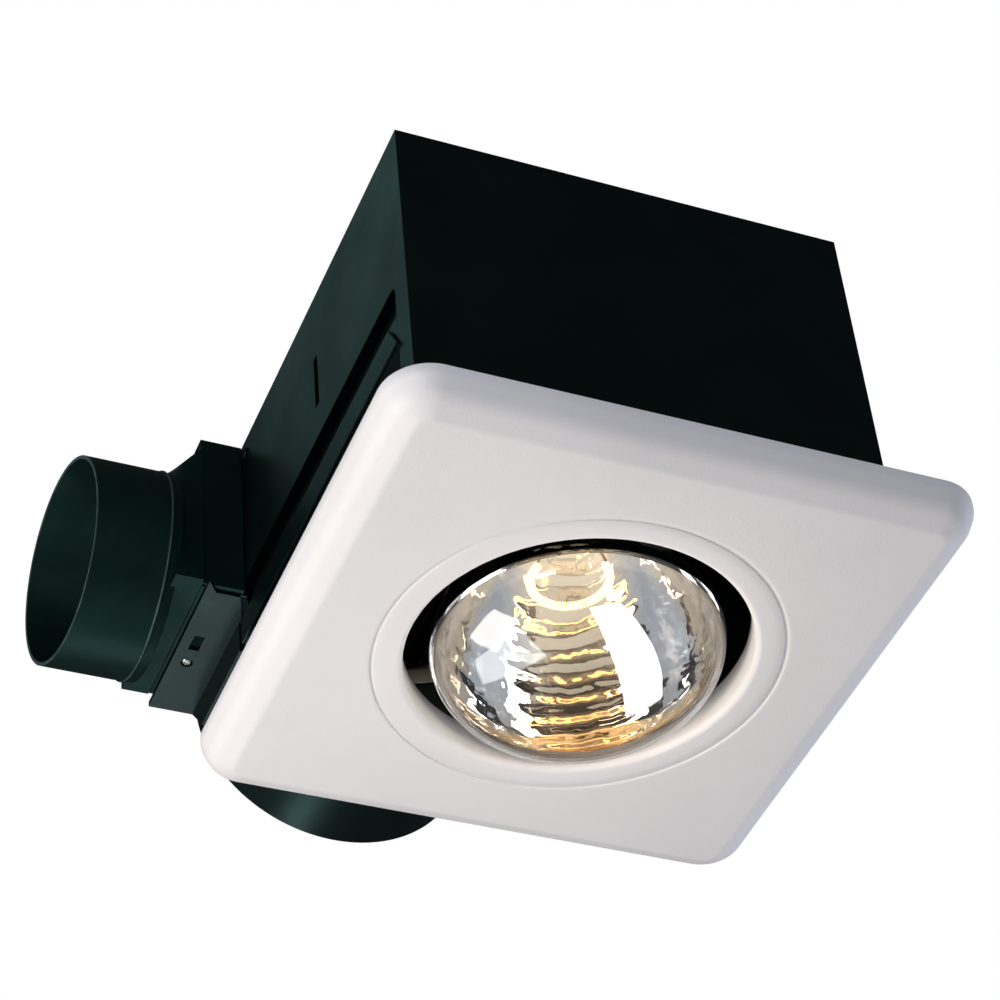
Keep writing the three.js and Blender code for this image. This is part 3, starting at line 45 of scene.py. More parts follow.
# The camera stands below the ceiling, near the left front corner, and looks up at the lamp.
# Its place, its lens and its three axes were fitted to the edges and ellipses of the photograph.
camera_place = (-0.46942, -0.90307, -0.85311)
to_right = (0.92483, -0.37268, -0.07619)
to_foot = (0.20121, 0.64927, -0.73346)
to_front = (0.32281, 0.66299, 0.67545)
camera_data = bpy.data.cameras.new("camera")
camera_data.sensor_width, camera_data.lens = 36.0, 110.995
camera_data.clip_start, camera_data.clip_end = 0.05, 60.0
camera = bpy.data.objects.new("camera", camera_data)
axes = np.array([to_right, [-v for v in to_foot], [-v for v in to_front]]).T
camera.matrix_world = Matrix.Translation(camera_place) @ Matrix(axes.tolist()).to_4x4()
bpy.context.scene.collection.objects.link(camera)
bpy.context.scene.camera = camera
bpy.context.scene.view_settings.view_transform = "Standard"


# The studio: a pale floor two metres down under a white sky that lights only weakly. Glossy
# surfaces see both of them dark, so black paint stays black but where a lamp or a card shines in it.
def linked(thing):
    """The object, linked into the scene."""
    bpy.context.scene.collection.objects.link(thing)
    return thing


def fill(node, values):
    """Fills a node's input sockets, by name or number, with values or with links to sockets."""
    for socket, value in values.items():
        if isinstance(value, bpy.types.NodeSocket):
            node.id_data.links.new(value, node.inputs[socket])
        else:
            node.inputs[socket].default_value = value
    return node


def made(tree, kind, values):
    """A new shader node of that kind with its input sockets filled."""
    return fill(tree.nodes.new(f"ShaderNode{kind}"), values)


def mixed(tree, factor, a, b, blend="MIX"):
    """The colours a and b mixed by factor."""
    node = tree.nodes.new("ShaderNodeMix")
    node.data_type, node.blend_type = "RGBA", blend
    return fill(node, {"Factor": factor, "A": a, "B": b}).outputs["Result"]


floor_z, floor_half = -2.0, 7
floor_corners = [(x * floor_half, y * floor_half, floor_z) for x, y in ((-1, -1), (1, -1), (1, 1), (-1, 1))]
floor_mesh = bpy.data.meshes.new("studio_floor")
floor_mesh.from_pydata(floor_corners, [], [(0, 1, 2, 3)])
floor = linked(bpy.data.objects.new("studio_floor", floor_mesh))
floor_paint = bpy.data.materials.new("studio_floor_paint")
floor_paint.use_nodes = True
floor_mesh.materials.append(floor_paint)
floor_tree = floor_paint.node_tree
floor_pale = fill(floor_tree.nodes["Principled BSDF"], {"Base Color": (0.8, 0.8, 0.79, 1), "Roughness": 0.8})
floor_dark = made(floor_tree, "BsdfDiffuse", {"Color": (0.12, 0.125, 0.13, 1)})
floor_ray = made(floor_tree, "LightPath", {}).outputs["Is Glossy Ray"]
floor_mix = made(floor_tree, "MixShader", {0: floor_ray, 1: floor_pale.outputs[0], 2: floor_dark.outputs[0]})
fill(floor_tree.nodes["Material Output"], {0: floor_mix.outputs[0]})

sky = bpy.data.worlds.new("studio_sky")
bpy.context.scene.world = sky
sky.use_nodes = True
sky_tree = sky.node_tree
sky_tree.nodes.clear()
sky_ray = made(sky_tree, "LightPath", {})
sky_weak, sky_dark = (0.305, 0.327, 0.39, 1), (0.03, 0.034, 0.036, 1)
sky_shade = mixed(sky_tree, sky_ray.outputs["Is Glossy Ray"], sky_weak, sky_dark)
sky_shade = mixed(sky_tree, sky_ray.outputs["Is Camera Ray"], sky_shade, (1, 1, 1, 1))
made(sky_tree, "OutputWorld", {0: made(sky_tree, "Background", {"Color": sky_shade}).outputs[0]})


# Lights: the warm key stands low on the left, a weak cold one in front, a broad one high at the
# back and a cold one on the right, which lights the trim's edge. Cards show in glossy surfaces only.
def softbox(name, place, aim, width, height, power, tint=(1, 1, 1), turn=0.0, shows="all"):
    """A rectangular lamp at place whose face looks at aim, turned about that line by turn degrees.
    It shows in all surfaces, in gloss only or in matt ones only."""
    light = bpy.data.lights.new(name, "AREA")
    light.shape, light.size, light.size_y = "RECTANGLE", width, height
    light.energy, light.color = power, tint
    back = np.array(place, float) - np.array(aim, float)
    back /= np.linalg.norm(back)
    side = np.cross((0.0, 0.0, 1.0), back)
    side = side / np.linalg.norm(side) if np.linalg.norm(side) > 1e-6 else np.array((1.0, 0.0, 0.0))
    up = np.cross(back, side)
    swing = np.radians(turn)
    side, up = side * np.cos(swing) + up * np.sin(swing), up * np.cos(swing) - side * np.sin(swing)
    lamp = linked(bpy.data.objects.new(name, light))
    lamp.matrix_world = Matrix.Translation(place) @ Matrix(np.array([side, up, back]).T.tolist()).to_4x4()
    lamp.visible_camera = False
    lamp.visible_diffuse, lamp.visible_glossy = shows != "gloss", shows != "matt"
    return lamp


warm, cold = (1.0, 0.95, 0.91), (0.8, 0.95, 1.0)
softbox("key_light", (-0.78, 0.17, -0.56), (0, 0, 0.03), 0.5, 0.5, 6.6, warm)
softbox("fill_light", (-0.42, -0.45, -0.02), (-0.13, -0.13, 0), 0.15, 0.15, 0.6, (0.9, 0.93, 1.0))
softbox("high_light", (0.9, 1.0, 2.2), (0, 0, -2.0), 1.8, 1.8, 52, warm, shows="matt")
softbox("rim_light", (1.1, 0.15, 0.03), (0.12, 0, 0), 0.5, 0.3, 7.5, (0.74, 0.8, 1.0), shows="matt")
foot_card = softbox("foot_card", (0.33, 1.64, -1.78), (-0.1, 0.1, 0.05), 0.6, 0.6, 5.6, cold, shows="gloss")
scroll_card = softbox("scroll_card", (-0.4, 1.9, -1.6), (-0.1, 0.15, 0.0), 0.5, 0.5, 3.8, cold, shows="gloss")
softbox("sheen_card", (-0.62, 0.8, 1.5), (-0.1, 0, 0.08), 0.8, 0.8, 0.42, (0.5, 1.0, 0.97), shows="gloss")
right_x, right_y, left_x, left_y = 0.645, 0.176, -0.55, 0.54
glass_cards = [
    softbox(
        "lamp_card_right", (right_x, right_y, -0.95), (right_x, right_y, 0), 2.1, 0.45, 40,
        turn=-57.6, shows="gloss",
    ),
    softbox(
        "lamp_card_left", (left_x, left_y, -0.8), (left_x, left_y, 0), 1.0, 0.45, 8, (0.95, 0.97, 1.0),
        turn=67.6, shows="gloss",
    ),
]
bowl_cards = [
    softbox("bowl_card_wide", (-0.2, -0.3, -1.3), (0, 0, 0), 2.6, 2.6, 15.0, (0.8, 0.88, 1.0), shows="gloss"),
    softbox("bowl_card_right", (1.2, -0.3, -0.9), (0, 0, 0), 0.3, 1.2, 14.0, shows="gloss"),
    softbox("bowl_card_left", (-1.3, 0.5, -0.8), (0, 0, 0), 0.3, 1.0, 8.0, shows="gloss"),
]


# Housing: a box of 1.2 mm sheet steel, open below, with two grooves pressed along its left wall.
# It was dipped and stoved in thin black paint, which has a faint orange-peel skin.
def smooth_piece(name, mesh, shape):
    """The edited shape as a smooth object of that name."""
    shape.to_mesh(mesh)
    shape.free()
    mesh.polygons.foreach_set("use_smooth", np.ones(len(mesh.polygons), bool))
    return linked(bpy.data.objects.new(name, mesh))


def pressed(name, node, ease=0.3, weld=2e-6, flatness=0.02):
    """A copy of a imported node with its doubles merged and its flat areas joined, for pieces cut from
    sheet: a bevel rounds its edges and weighted normals keep its flats flat."""
    shape = bmesh.new()
    shape.from_mesh(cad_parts[node].data)
    bmesh.ops.remove_doubles(shape, verts=shape.verts, dist=weld)
    bmesh.ops.dissolve_limit(shape, angle_limit=flatness, verts=shape.verts, edges=shape.edges)
    piece = smooth_piece(name, bpy.data.meshes.new(name), shape)
    rounding = piece.modifiers.new("rounded_edges", "BEVEL")
    rounding.width, rounding.segments = ease * mm, 2
    rounding.limit_method, rounding.angle_limit = "ANGLE", np.radians(30)
    piece.modifiers.new("flat_normals", "WEIGHTED_NORMAL").keep_sharp = True
    return piece


def placed(piece, body, slot, material, *nodes):
    """The piece rides on its body, takes its finish and stands for the nodes named."""
    piece.data.materials.clear()
    piece.data.materials.append(material)
    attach(piece, body)
    if nodes:
        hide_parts(*nodes)
    return piece


def ranged(tree, value, from_low, from_high, to_low=0.0, to_high=1.0):
    """The value carried from one range to another and held inside it."""
    ends = {"From Min": from_low, "From Max": from_high, "To Min": to_low, "To Max": to_high}
    return made(tree, "MapRange", {"Value": value, **ends}).outputs["Result"]


def finish(name, dark, light, gloss, metal=0.0, cloud=35.0, wander=0.06, grain=1200.0, depth=0.0, detail=6.0,
           shine=(1, 1, 1), level=0.5):
    """A Principled surface whose colour and gloss wander with noise in the object's own coordinates,
    over a fine bump of the real skin's depth. dark and light are the two ends of a cloudy mix of that
    scale, gloss is the middle roughness, shine and level are the tint and strength of its mirroring."""
    material = bpy.data.materials.new(name)
    material.use_nodes = True
    tree = material.node_tree
    place = made(tree, "TexCoord", {}).outputs["Object"]
    clouds = made(tree, "TexNoise", {"Vector": place, "Scale": cloud, "Detail": detail, "Roughness": 0.6})
    tones = made(tree, "ValToRGB", {"Fac": clouds.outputs["Fac"]})
    for end, position, tone in zip(tones.color_ramp.elements, (0.32, 0.68), (dark, light)):
        end.position, end.color = position, (*tone, 1)
    roughness = ranged(tree, clouds.outputs["Fac"], 0.3, 0.7, gloss - wander, gloss + wander)
    shader = fill(tree.nodes["Principled BSDF"], {
        "Base Color": tones.outputs["Color"], "Roughness": roughness, "Metallic": metal,
        "Specular Tint": (*shine, 1), "Specular IOR Level": level,
    })
    if depth:
        grains = made(tree, "TexNoise", {"Vector": place, "Scale": grain, "Detail": 3.0})
        bump = made(tree, "Bump", {"Strength": 1.0, "Distance": depth, "Height": grains.outputs["Fac"]})
        fill(shader, {"Normal": bump.outputs["Normal"]})
    return material


black_paint = finish(
    "black_paint", (0.0009, 0.0026, 0.0022), (0.002, 0.0048, 0.0042), 0.34,
    cloud=18, grain=900, depth=0.00002, shine=(0.55, 1.0, 0.96),
)
black_sheet = ("housing_assembly", "black_paint", black_paint)
sheet = 1.2
housing_shell = pressed("housing_shell", "housing", 0.5)

# The slit in the housing's left wall is punched 4.6 mm wide, so the long edges of the packed
# solid's narrower slit are set apart.
slit_x, slit_y, slit_z = -114.6, -5.5, 110
slit_half, slit_reach_y, slit_reach_z = 2.3, 1.5, 15.2
shell_points = np.empty(3 * len(housing_shell.data.vertices))
housing_shell.data.vertices.foreach_get("co", shell_points)
shell_points = shell_points.reshape(-1, 3) / mm
slit_off = shell_points - (slit_x, slit_y, slit_z)
near_slit = (abs(slit_off[:, 1]) < slit_reach_y) & (abs(slit_off[:, 2]) < slit_reach_z)
beside_slit = (slit_off[:, 0] < 0) & near_slit
shell_points[beside_slit, 1] = slit_y + slit_half * np.sign(slit_off[beside_slit, 1])
housing_shell.data.vertices.foreach_set("co", (shell_points * mm).ravel())
placed(housing_shell, *black_sheet, "housing")


# Upper groove: the press drew it five millimetres deep under its upper edge and let it run out
# below. Its lip and its near end are round, so a lining of the drawn sheet lies in the cut groove.
def meshed(name, points, faces, crease=32.0, weld=2e-7):
    """Points and faces as an object: doubles welded, faces turned outwards by the sign of the
    volume that they close, smooth but for edges sharper than crease degrees."""
    mesh = bpy.data.meshes.new(name)
    mesh.from_pydata(np.asarray(points, float).tolist(), [], faces)
    shape = bmesh.new()
    shape.from_mesh(mesh)
    bmesh.ops.remove_doubles(shape, verts=shape.verts, dist=weld)
    if shape.calc_volume(signed=True) < 0:
        bmesh.ops.reverse_faces(shape, faces=shape.faces)
    piece = smooth_piece(name, mesh, shape)
    mesh.set_sharp_from_angle(angle=np.radians(crease))
    return piece


def quads(rows, columns, loop_rows, loop_columns):
    """The faces of a grid: (i, j) joins (i, j+1), (i+1, j+1) and (i+1, j). A looped direction
    joins its last points to its first."""
    i, j = np.meshgrid(np.arange(rows - 1 + loop_rows), np.arange(columns - 1 + loop_columns), indexing="ij")
    below, beside = (i + 1) % rows, (j + 1) % columns
    corners = (i * columns + j, i * columns + beside, below * columns + beside, below * columns + j)
    return np.stack(corners, -1).reshape(-1, 4).tolist()


def skin(name, grid, loop_rows=True, crease=32.0):
    """A mesh through a grid of points whose columns loop; points that fall together are welded. The
    points stand where the piece stands, so every finished object stays at the origin."""
    return meshed(name, grid.reshape(-1, 3), quads(*grid.shape[:2], loop_rows, True), crease)


def closed_ends(grid):
    """The grid with a row before it and one after it, each drawn together in its end row's middle."""
    first, last = (row.mean(1, keepdims=True) + 0 * row for row in (grid[:1], grid[-1:]))
    return np.concatenate([first, grid, last])


def along(tree, direction):
    """How far a point lies along a direction in the object's own coordinates, in metres."""
    node = tree.nodes.new("ShaderNodeVectorMath")
    node.operation = "DOT_PRODUCT"
    return fill(node, {0: tree.nodes["Texture Coordinate"].outputs["Object"], 1: direction}).outputs["Value"]


def also_wears(piece, material, chosen):
    """A second material for the faces that chosen picks by their normals and middles (in mm)."""
    faces = piece.data.polygons
    normal, middle = np.empty(3 * len(faces)), np.empty(3 * len(faces))
    faces.foreach_get("normal", normal)
    faces.foreach_get("center", middle)
    piece.data.materials.append(material)
    faces.foreach_set("material_index", chosen(normal.reshape(-1, 3), middle.reshape(-1, 3) / mm).astype(int))


groove_near, groove_far, groove_high, groove_low = -99.4, 97.6, 77.4, 54.6
groove_deepest, groove_top, groove_fall = 4.8, 77, 22
lip_near, lip_top, lip_corner, lip_width = -98.8, 76.9, 5.0, 2.4
wall_face, lining_thickness = -116.03, 0.15
groove_y, groove_z = np.meshgrid(
    np.linspace(groove_near, groove_far, 240), np.linspace(groove_high, groove_low, 60), indexing="ij"
)


def groove_depth(y, z):
    """depth = 4.8 run(t) lip(d): run falls along the drawn curve from the groove's top to its foot,
    and lip is a smoothstep of the distance d from the rounded outline, over 2.4 mm."""
    share = np.clip((groove_top - z) / groove_fall, 0, 1)
    run = np.interp(share, [0, 0.3, 0.55, 0.8, 1], [1, 0.84, 0.44, 0.11, 0])
    inwards, down = y - lip_near, lip_top - z
    round_part = lip_corner - np.hypot(np.maximum(lip_corner - inwards, 0), np.maximum(lip_corner - down, 0))
    in_corner = (inwards < lip_corner) & (down < lip_corner)
    distance = np.where(in_corner, round_part, np.minimum(inwards, down))
    lip = np.clip(distance / lip_width, 0, 1)
    return groove_deepest * run * lip**2 * (3 - 2 * lip)


groove_front = wall_face + groove_depth(groove_y, groove_z)
groove_grid = np.stack([
    np.concatenate([groove_front, groove_front[:, ::-1] + lining_thickness], 1),
    np.concatenate([groove_y, groove_y[:, ::-1]], 1),
    np.concatenate([groove_z, groove_z[:, ::-1]], 1),
], -1)
lining = skin("upper_groove_lining", closed_ends(groove_grid) * mm, loop_rows=False, crease=60)
placed(lining, *black_sheet)

# The groove's upper wall looks down and away from every lamp. Its faces that look down wear painted
# shade: a matt paint, nearly black under the lip and a little greyer where the wall runs out.
groove_shade_paint = finish(
    "groove_shade_paint", (0.0002, 0.0007, 0.0005), (0.0005, 0.0013, 0.0011), 0.85, cloud=60, level=0.0
)
groove_shade_tree = groove_shade_paint.node_tree
# Painted shade: darkest at the lip's height, a little greyer lower down where the wall runs out.
shade_fade = ranged(groove_shade_tree, along(groove_shade_tree, (0, 0, 1)), 0.073, 0.056)
shade_tone = groove_shade_tree.nodes["Color Ramp"].outputs["Color"]
shade_tone = mixed(groove_shade_tree, shade_fade, shade_tone, (0.006, 0.015, 0.013, 1))
fill(groove_shade_tree.nodes["Principled BSDF"], {"Base Color": shade_tone})
# The faces that look down take the painted shade.
also_wears(lining, groove_shade_paint, lambda normal, middle: normal[:, 2] < -0.3)

# Side rail: a strip of sheet steel, spot-welded over the lower groove, its near end cut at a slant.
# It is painted together with the housing.
placed(pressed("rail_strip", "side_rail", 0.25), *black_sheet, "side_rail")

# Screws: zinc-plated pan heads with a crossed recess, cold-headed from wire, their threads rolled.
# The one in the housing's left wall is painted over.
bright_zinc = finish("bright_zinc", (0.5, 0.5, 0.47), (0.72, 0.71, 0.67), 0.28, metal=1.0, cloud=400)

# For each axis the two directions of an outline square to it, and the axis itself.
bases = {
    "X": np.array([(0, 1, 0), (0, 0, 1), (1, 0, 0)], float),
    "Y": np.array([(1, 0, 0), (0, 0, 1), (0, 1, 0)], float),
    "Z": np.array([(1, 0, 0), (0, 1, 0), (0, 0, 1)], float),
}


def box_of(node):
    """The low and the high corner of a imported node's box, in millimetres."""
    return [np.array(corner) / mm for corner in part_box(node)]


def pan_screw(node, axis, sign, head, rise, shank, body="housing_assembly", slot="bright_steel",
              material=bright_zinc):
    """A pan-head screw in the box of its node. The head's top falls off by 0.5 rise (r/R)^4 and holds a
    cross whose arms are 0.34 R wide and 1.14 R long; sign is -1 where the head is at the low end."""
    low, high = box_of(node)
    third = "XYZ".index(axis)
    centre = (low + high) / 2
    top, tip = (low[third], high[third]) if sign < 0 else (high[third], low[third])
    columns = 64
    angle = np.arange(columns) * 2 * np.pi / columns
    radius = np.concatenate([np.linspace(0, 0.92, 16), [0.98, 1.0, 1.0, 0.98]]) * head
    drop = np.concatenate([0.5 * np.linspace(0, 0.92, 16) ** 4, [0.46, 0.6, 0.95, 1]]) * rise
    u, v = radius[:, None] * np.cos(angle), radius[:, None] * np.sin(angle)
    arm, reach = np.minimum(np.abs(u), np.abs(v)), np.maximum(np.abs(u), np.abs(v))
    recess = np.clip((0.2 * head - arm) / (0.06 * head), 0, 1)
    recess *= np.clip((0.62 * head - reach) / (0.1 * head), 0, 1)
    down = drop[:, None] + 0.62 * rise * recess
    neck_radius = np.array([shank, shank, 0.7 * shank, 0.0])[:, None]
    neck_down = np.array([rise, abs(top - tip) - 0.4 * shank, abs(top - tip), abs(top - tip)])[:, None]
    u = np.concatenate([u, neck_radius * np.cos(angle)])
    v = np.concatenate([v, neck_radius * np.sin(angle)])
    down = np.concatenate([down, neck_down + 0 * angle]) * np.sign(tip - top)
    first, second, forward = bases[axis]
    origin = centre * (1 - forward) + forward * top
    grid = origin + u[..., None] * first + v[..., None] * second + down[..., None] * forward
    placed(skin(f"{node}_head", grid * mm, loop_rows=False, crease=40), body, slot, material, node)


pan_screw("wall_screw", "X", -1, 3.4, 2.0, 1.6, material=black_paint)


# Scroll wrap: one strip of painted sheet, bent round from the outlet's floor under the wheel and
# back over it to the outlet's roof. Its line is a circle whose radius grows from 68 to 81.5 mm.
def unit(vectors):
    """The vectors at length one."""
    return vectors / np.linalg.norm(vectors, axis=1)[:, None]


def drawn(name, outline, axis, low, high, ease=0.3):
    """A solid drawn out along an axis from the closed outline of a strip in millimetres, one edge
    out and the other back; its two ends are pulled in by ease along the outline's own inward
    normals, so every end edge is rounded, and closed by quads from edge to edge."""
    points = np.asarray(outline, float)
    after, before = np.roll(points, -1, 0) - points, points - np.roll(points, 1, 0)
    tangent = unit(unit(after) + unit(before))
    area = np.sum(points[:, 0] * np.roll(points[:, 1], -1) - points[:, 1] * np.roll(points[:, 0], -1))
    inward = np.stack([-tangent[:, 1], tangent[:, 0]], 1) * np.sign(area)
    turn = np.linspace(0, np.pi / 2, 3)
    levels = np.concatenate([low + ease * (1 - np.sin(turn)), high - ease * (1 - np.sin(turn[::-1]))])
    pulls = ease * (1 - np.cos(np.pi / 2 - np.concatenate([turn, turn[::-1]])))
    first, second, third = bases[axis]
    flat = points[None] + inward[None] * pulls[:, None, None]
    solid = flat[..., 0, None] * first + flat[..., 1, None] * second + levels[:, None, None] * third
    rows, columns = solid.shape[:2]
    k = np.arange(columns // 2 - 1)
    cap = np.stack([k, k + 1, columns - 2 - k, columns - 1 - k], 1)
    faces = quads(rows, columns, False, True) + cap[:, ::-1].tolist() + (cap + (rows - 1) * columns).tolist()
    return meshed(name, solid.reshape(-1, 3) * mm, faces)


scroll_x, scroll_z, scroll_start, scroll_growth = -43.0, 78.0, 68, 13.5
outlet_x, outlet_floor, outlet_roof = -134.0, 71.0, 159.5
wrap_near, wrap_far = 99.8, 185


def scroll_points(angle, inset):
    """radius(angle) = 68 + 13.5 smoothstep(angle from -20 to 90 degrees) - inset, about the centre."""
    share = np.clip((angle + 20) / 110, 0, 1)
    radius = scroll_start + scroll_growth * share**2 * (3 - 2 * share) - inset
    turn = np.radians(angle)
    return np.stack([scroll_x + radius * np.cos(turn), scroll_z + radius * np.sin(turn)], 1)


def scroll_line(inset, steps=220, bend=0.6):
    """The outlet's floor, a small bend at the tongue, the growing arc and the outlet's roof."""
    tongue = -180 + np.degrees(np.arcsin((scroll_z - outlet_floor) / scroll_start))
    arc = scroll_points(np.linspace(tongue, 90, steps), inset)
    start = np.array([[outlet_x, outlet_floor + inset], [arc[0, 0] - bend, outlet_floor + inset]])
    return np.concatenate([start, arc[1:], [[outlet_x, outlet_roof - inset]]])


wrap_outline = np.concatenate([scroll_line(0), scroll_line(sheet)[::-1]])
scroll_wrap = drawn("scroll_wrap_sheet", wrap_outline, "Y", wrap_near, wrap_far)
placed(scroll_wrap, *black_sheet, "scroll_wrap")

# Scroll front plate: a flat blank of the same line, stamped from the same sheet and painted with
# it. It lies between the housing and the wrap and is held by two screws.
placed(pressed("scroll_front_sheet", "scroll_front_plate"), *black_sheet, "scroll_front_plate")
for number in (1, 2):
    pan_screw(f"blower_screw_{number}", "Y", -1, 3.4, 2.0, 1.6)

# Scroll back plate: unpainted galvanised sheet, stamped and set 7 mm into the wrap. It carries the
# motor.
zinc_sheet = finish(
    "zinc_sheet", (0.3, 0.32, 0.33), (0.5, 0.52, 0.53), 0.38, metal=0.9, cloud=90, wander=0.1, detail=2
)
galvanised = ("housing_assembly", "galvanised", zinc_sheet)
placed(pressed("scroll_back_sheet", "scroll_back_plate"), *galvanised, "scroll_back_plate")


# Inlet ring: drawn from galvanised sheet and set in the front plate, its throat rolled so that it
# stands a little way inside the wheel's mouth.
def eased(outline, radius, steps=3):
    """A closed outline with each corner replaced by a quadratic curve that starts and ends radius
    away from it: (1-s)^2 a + 2 s (1-s) corner + s^2 b, at most 0.45 of the shorter side."""
    points = np.asarray(outline, float)
    before, after = np.roll(points, 1, 0) - points, np.roll(points, -1, 0) - points
    length_before, length_after = np.linalg.norm(before, axis=1), np.linalg.norm(after, axis=1)
    cut = np.minimum(radius, 0.45 * np.minimum(length_before, length_after))[:, None]
    a = points + before / length_before[:, None] * cut
    b = points + after / length_after[:, None] * cut
    s = np.linspace(0, 1, steps + 1)[None, :, None]
    curve = (1 - s) ** 2 * a[:, None] + 2 * s * (1 - s) * points[:, None] + s**2 * b[:, None]
    return curve.reshape(-1, 2)


def spun(profile, axis="Z", centre=(0, 0, 0), sides=96):
    """The grid of a profile of (radius, height) rows turned about an axis through centre."""
    first, second, third = bases[axis]
    profile = np.asarray(profile, float)
    angle = np.arange(sides) * 2 * np.pi / sides
    ring = np.cos(angle)[:, None] * first + np.sin(angle)[:, None] * second
    return np.array(centre, float) + profile[:, 0, None, None] * ring + profile[:, 1, None, None] * third


def turned(name, profile, axis="Z", centre=(0, 0, 0), sides=96, ease=0.0, steps=3, crease=32.0):
    """A solid turned from a closed profile of (radius, height) in millimetres, its corners eased."""
    outline = np.asarray(profile, float) * mm
    if ease:
        outline = eased(outline, ease * mm, steps)
        outline[:, 0] = np.maximum(outline[:, 0], 0)
    return skin(name, spun(outline, axis, np.array(centre) * mm, sides), crease=crease)


wheel_axis = (-46.0, 0, 82.0)
ring_profile = [(38, 96.5), (38, 107.5), (36.8, 107.5), (36.8, 96.5), (39.2, 95.3), (47, 95.3), (47, 96.5)]
inlet_ring = turned("inlet_ring_throat", ring_profile, "Y", wheel_axis, ease=0.5)
placed(inlet_ring, *galvanised, "inlet_ring")


# Blower wheel, hub, shaft and rotor: a squirrel cage of thin swept blades on a pressed disc,
# with a turned hub that grips the ground steel shaft.
def wears(material, *nodes):
    """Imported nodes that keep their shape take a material."""
    for node in nodes:
        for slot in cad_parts[node].material_slots:
            slot.material = material


spinning_steel = ("blower_rotor", "bright_steel", bright_zinc)
hub_profile = [(3.3, 144.0), (7, 144.0), (7, 157.0), (3.3, 157.0)]
placed(turned("wheel_hub_boss", hub_profile, "Y", wheel_axis, 64, 0.5), *spinning_steel, "wheel_hub")
shaft_near, shaft_far = (corner[1] for corner in box_of("motor_shaft"))
shaft_profile = [(0, shaft_near), (3, shaft_near), (3, shaft_far), (0, shaft_far)]
placed(turned("motor_shaft_rod", shaft_profile, "Y", wheel_axis, 48, 0.4), *spinning_steel, "motor_shaft")
laminated = finish(
    "laminated_steel", (0.12, 0.125, 0.13), (0.24, 0.245, 0.25), 0.5, metal=0.8, cloud=700, depth=0.00004
)
wears(zinc_sheet, "blower_wheel")
wears(laminated, "motor_rotor", "motor_stator")

# Winding, straps, bushes and bolts: enamelled copper wire on the stack's upper bar, under varnish;
# the stack hangs on two galvanised straps with sintered bushes, held by two plated bolts.
winding = finish(
    "enamelled_copper", (0.3, 0.1, 0.035), (0.55, 0.2, 0.07), 0.35,
    metal=0.7, cloud=900, grain=2500, depth=0.0001,
)
sintered_bronze = finish("sintered_bronze", (0.3, 0.18, 0.08), (0.45, 0.28, 0.13), 0.45, metal=0.9, cloud=800)
wears(winding, "motor_coil")
wears(zinc_sheet, "motor_strap_front", "motor_strap_rear")
wears(sintered_bronze, "bearing_front", "bearing_rear")
wears(bright_zinc, "motor_bolt_1", "motor_bolt_2")

# Motor cover: a deep-drawn cup of sheet steel over the motor, painted with the scroll and held by
# two screws.
cover_foot, cover_end = (corner[1] for corner in box_of("motor_cover"))
cover_profile = [
    (40, cover_foot), (47, cover_foot), (47, cover_foot + 1), (41, cover_foot + 1), (41, cover_end - 4),
    (37, cover_end), (0, cover_end), (0, cover_end - 1), (36.5, cover_end - 1), (40, cover_end - 4.5),
]
motor_cover = turned("motor_cover_cup", cover_profile, "Y", wheel_axis, ease=0.9, steps=4)
placed(motor_cover, *black_sheet, "motor_cover")
for number in (1, 2):
    pan_screw(f"cover_screw_{number}", "Y", 1, 2.7, 2.0, 1.6)

# Outlet bracket: a leaf of painted steel under the outlet's floor, with a slot, a screw hole and a
# flange turned down beside the housing. Its leaf wears a greyer copy of the black paint, a painted
# highlight of the key light that it catches; its flange keeps the darker black paint as painted shade.
bracket_lit_paint = finish(
    "bracket_lit_paint", (0.011, 0.016, 0.015), (0.015, 0.021, 0.02), 0.42,
    cloud=60, grain=1500, depth=0.00002, shine=(0.62, 0.9, 0.86),
)
bracket = pressed("outlet_bracket_leaf", "outlet_bracket")
placed(bracket, "housing_assembly", "black_paint", bracket_lit_paint, "outlet_bracket")
# Painted shade: the flange's faces, turned from the key light, take the darker black paint.
also_wears(bracket, black_paint, lambda normal, middle: abs(normal[:, 2]) < 0.5)

# Duct connector: one black moulding. Its round collar has a low ridge that stops the duct, and its
# mouth is cut about four degrees askew. A lighter grey-blue on its rim and ridge is a painted highlight.
black_moulding = finish(
    "black_moulding", (0.002, 0.009, 0.0078), (0.004, 0.0128, 0.0112), 0.42,
    cloud=30, wander=0.07, grain=700, depth=0.00002, shine=(0.32, 0.85, 0.76), level=0.3,
)
moulded = ("housing_assembly", "black_plastic", black_moulding)
collar_y, collar_z, collar_outer, collar_bore = 137.0, 106.0, 49.8, 48.0
mouth_end, mouth_middle, lean_y, lean_z = -195, -191.2, 0.061, 0.045
collar_profile = [
    (collar_bore, mouth_end), (collar_outer, mouth_end), (collar_outer, -153.3), (50.4, -153.1),
    (50.4, -152.3), (collar_outer, -152.1), (collar_outer, -147.5), (47.8, -147.5), (47.8, -149.5),
    (collar_bore, -149.7),
]
collar_grid = spun(eased(collar_profile, 0.35), "X", (0, collar_y, collar_z), 192)
skew = lean_y * (collar_grid[..., 1] - collar_y) + lean_z * (collar_grid[..., 2] - collar_z)
collar_grid[..., 0] += np.where(collar_grid[..., 0] < mouth_end + 5, mouth_middle - mouth_end - skew, 0)
collar = placed(skin("duct_collar", collar_grid * mm), *moulded, "duct_connector")
# Painted highlight: a lighter grey-blue for the mouth's end face and the ridge, where light lines run.
rim_highlight_moulding = finish(
    "rim_highlight_moulding", (0.016, 0.036, 0.04), (0.05, 0.085, 0.09), 0.45, cloud=150, wander=0.07
)


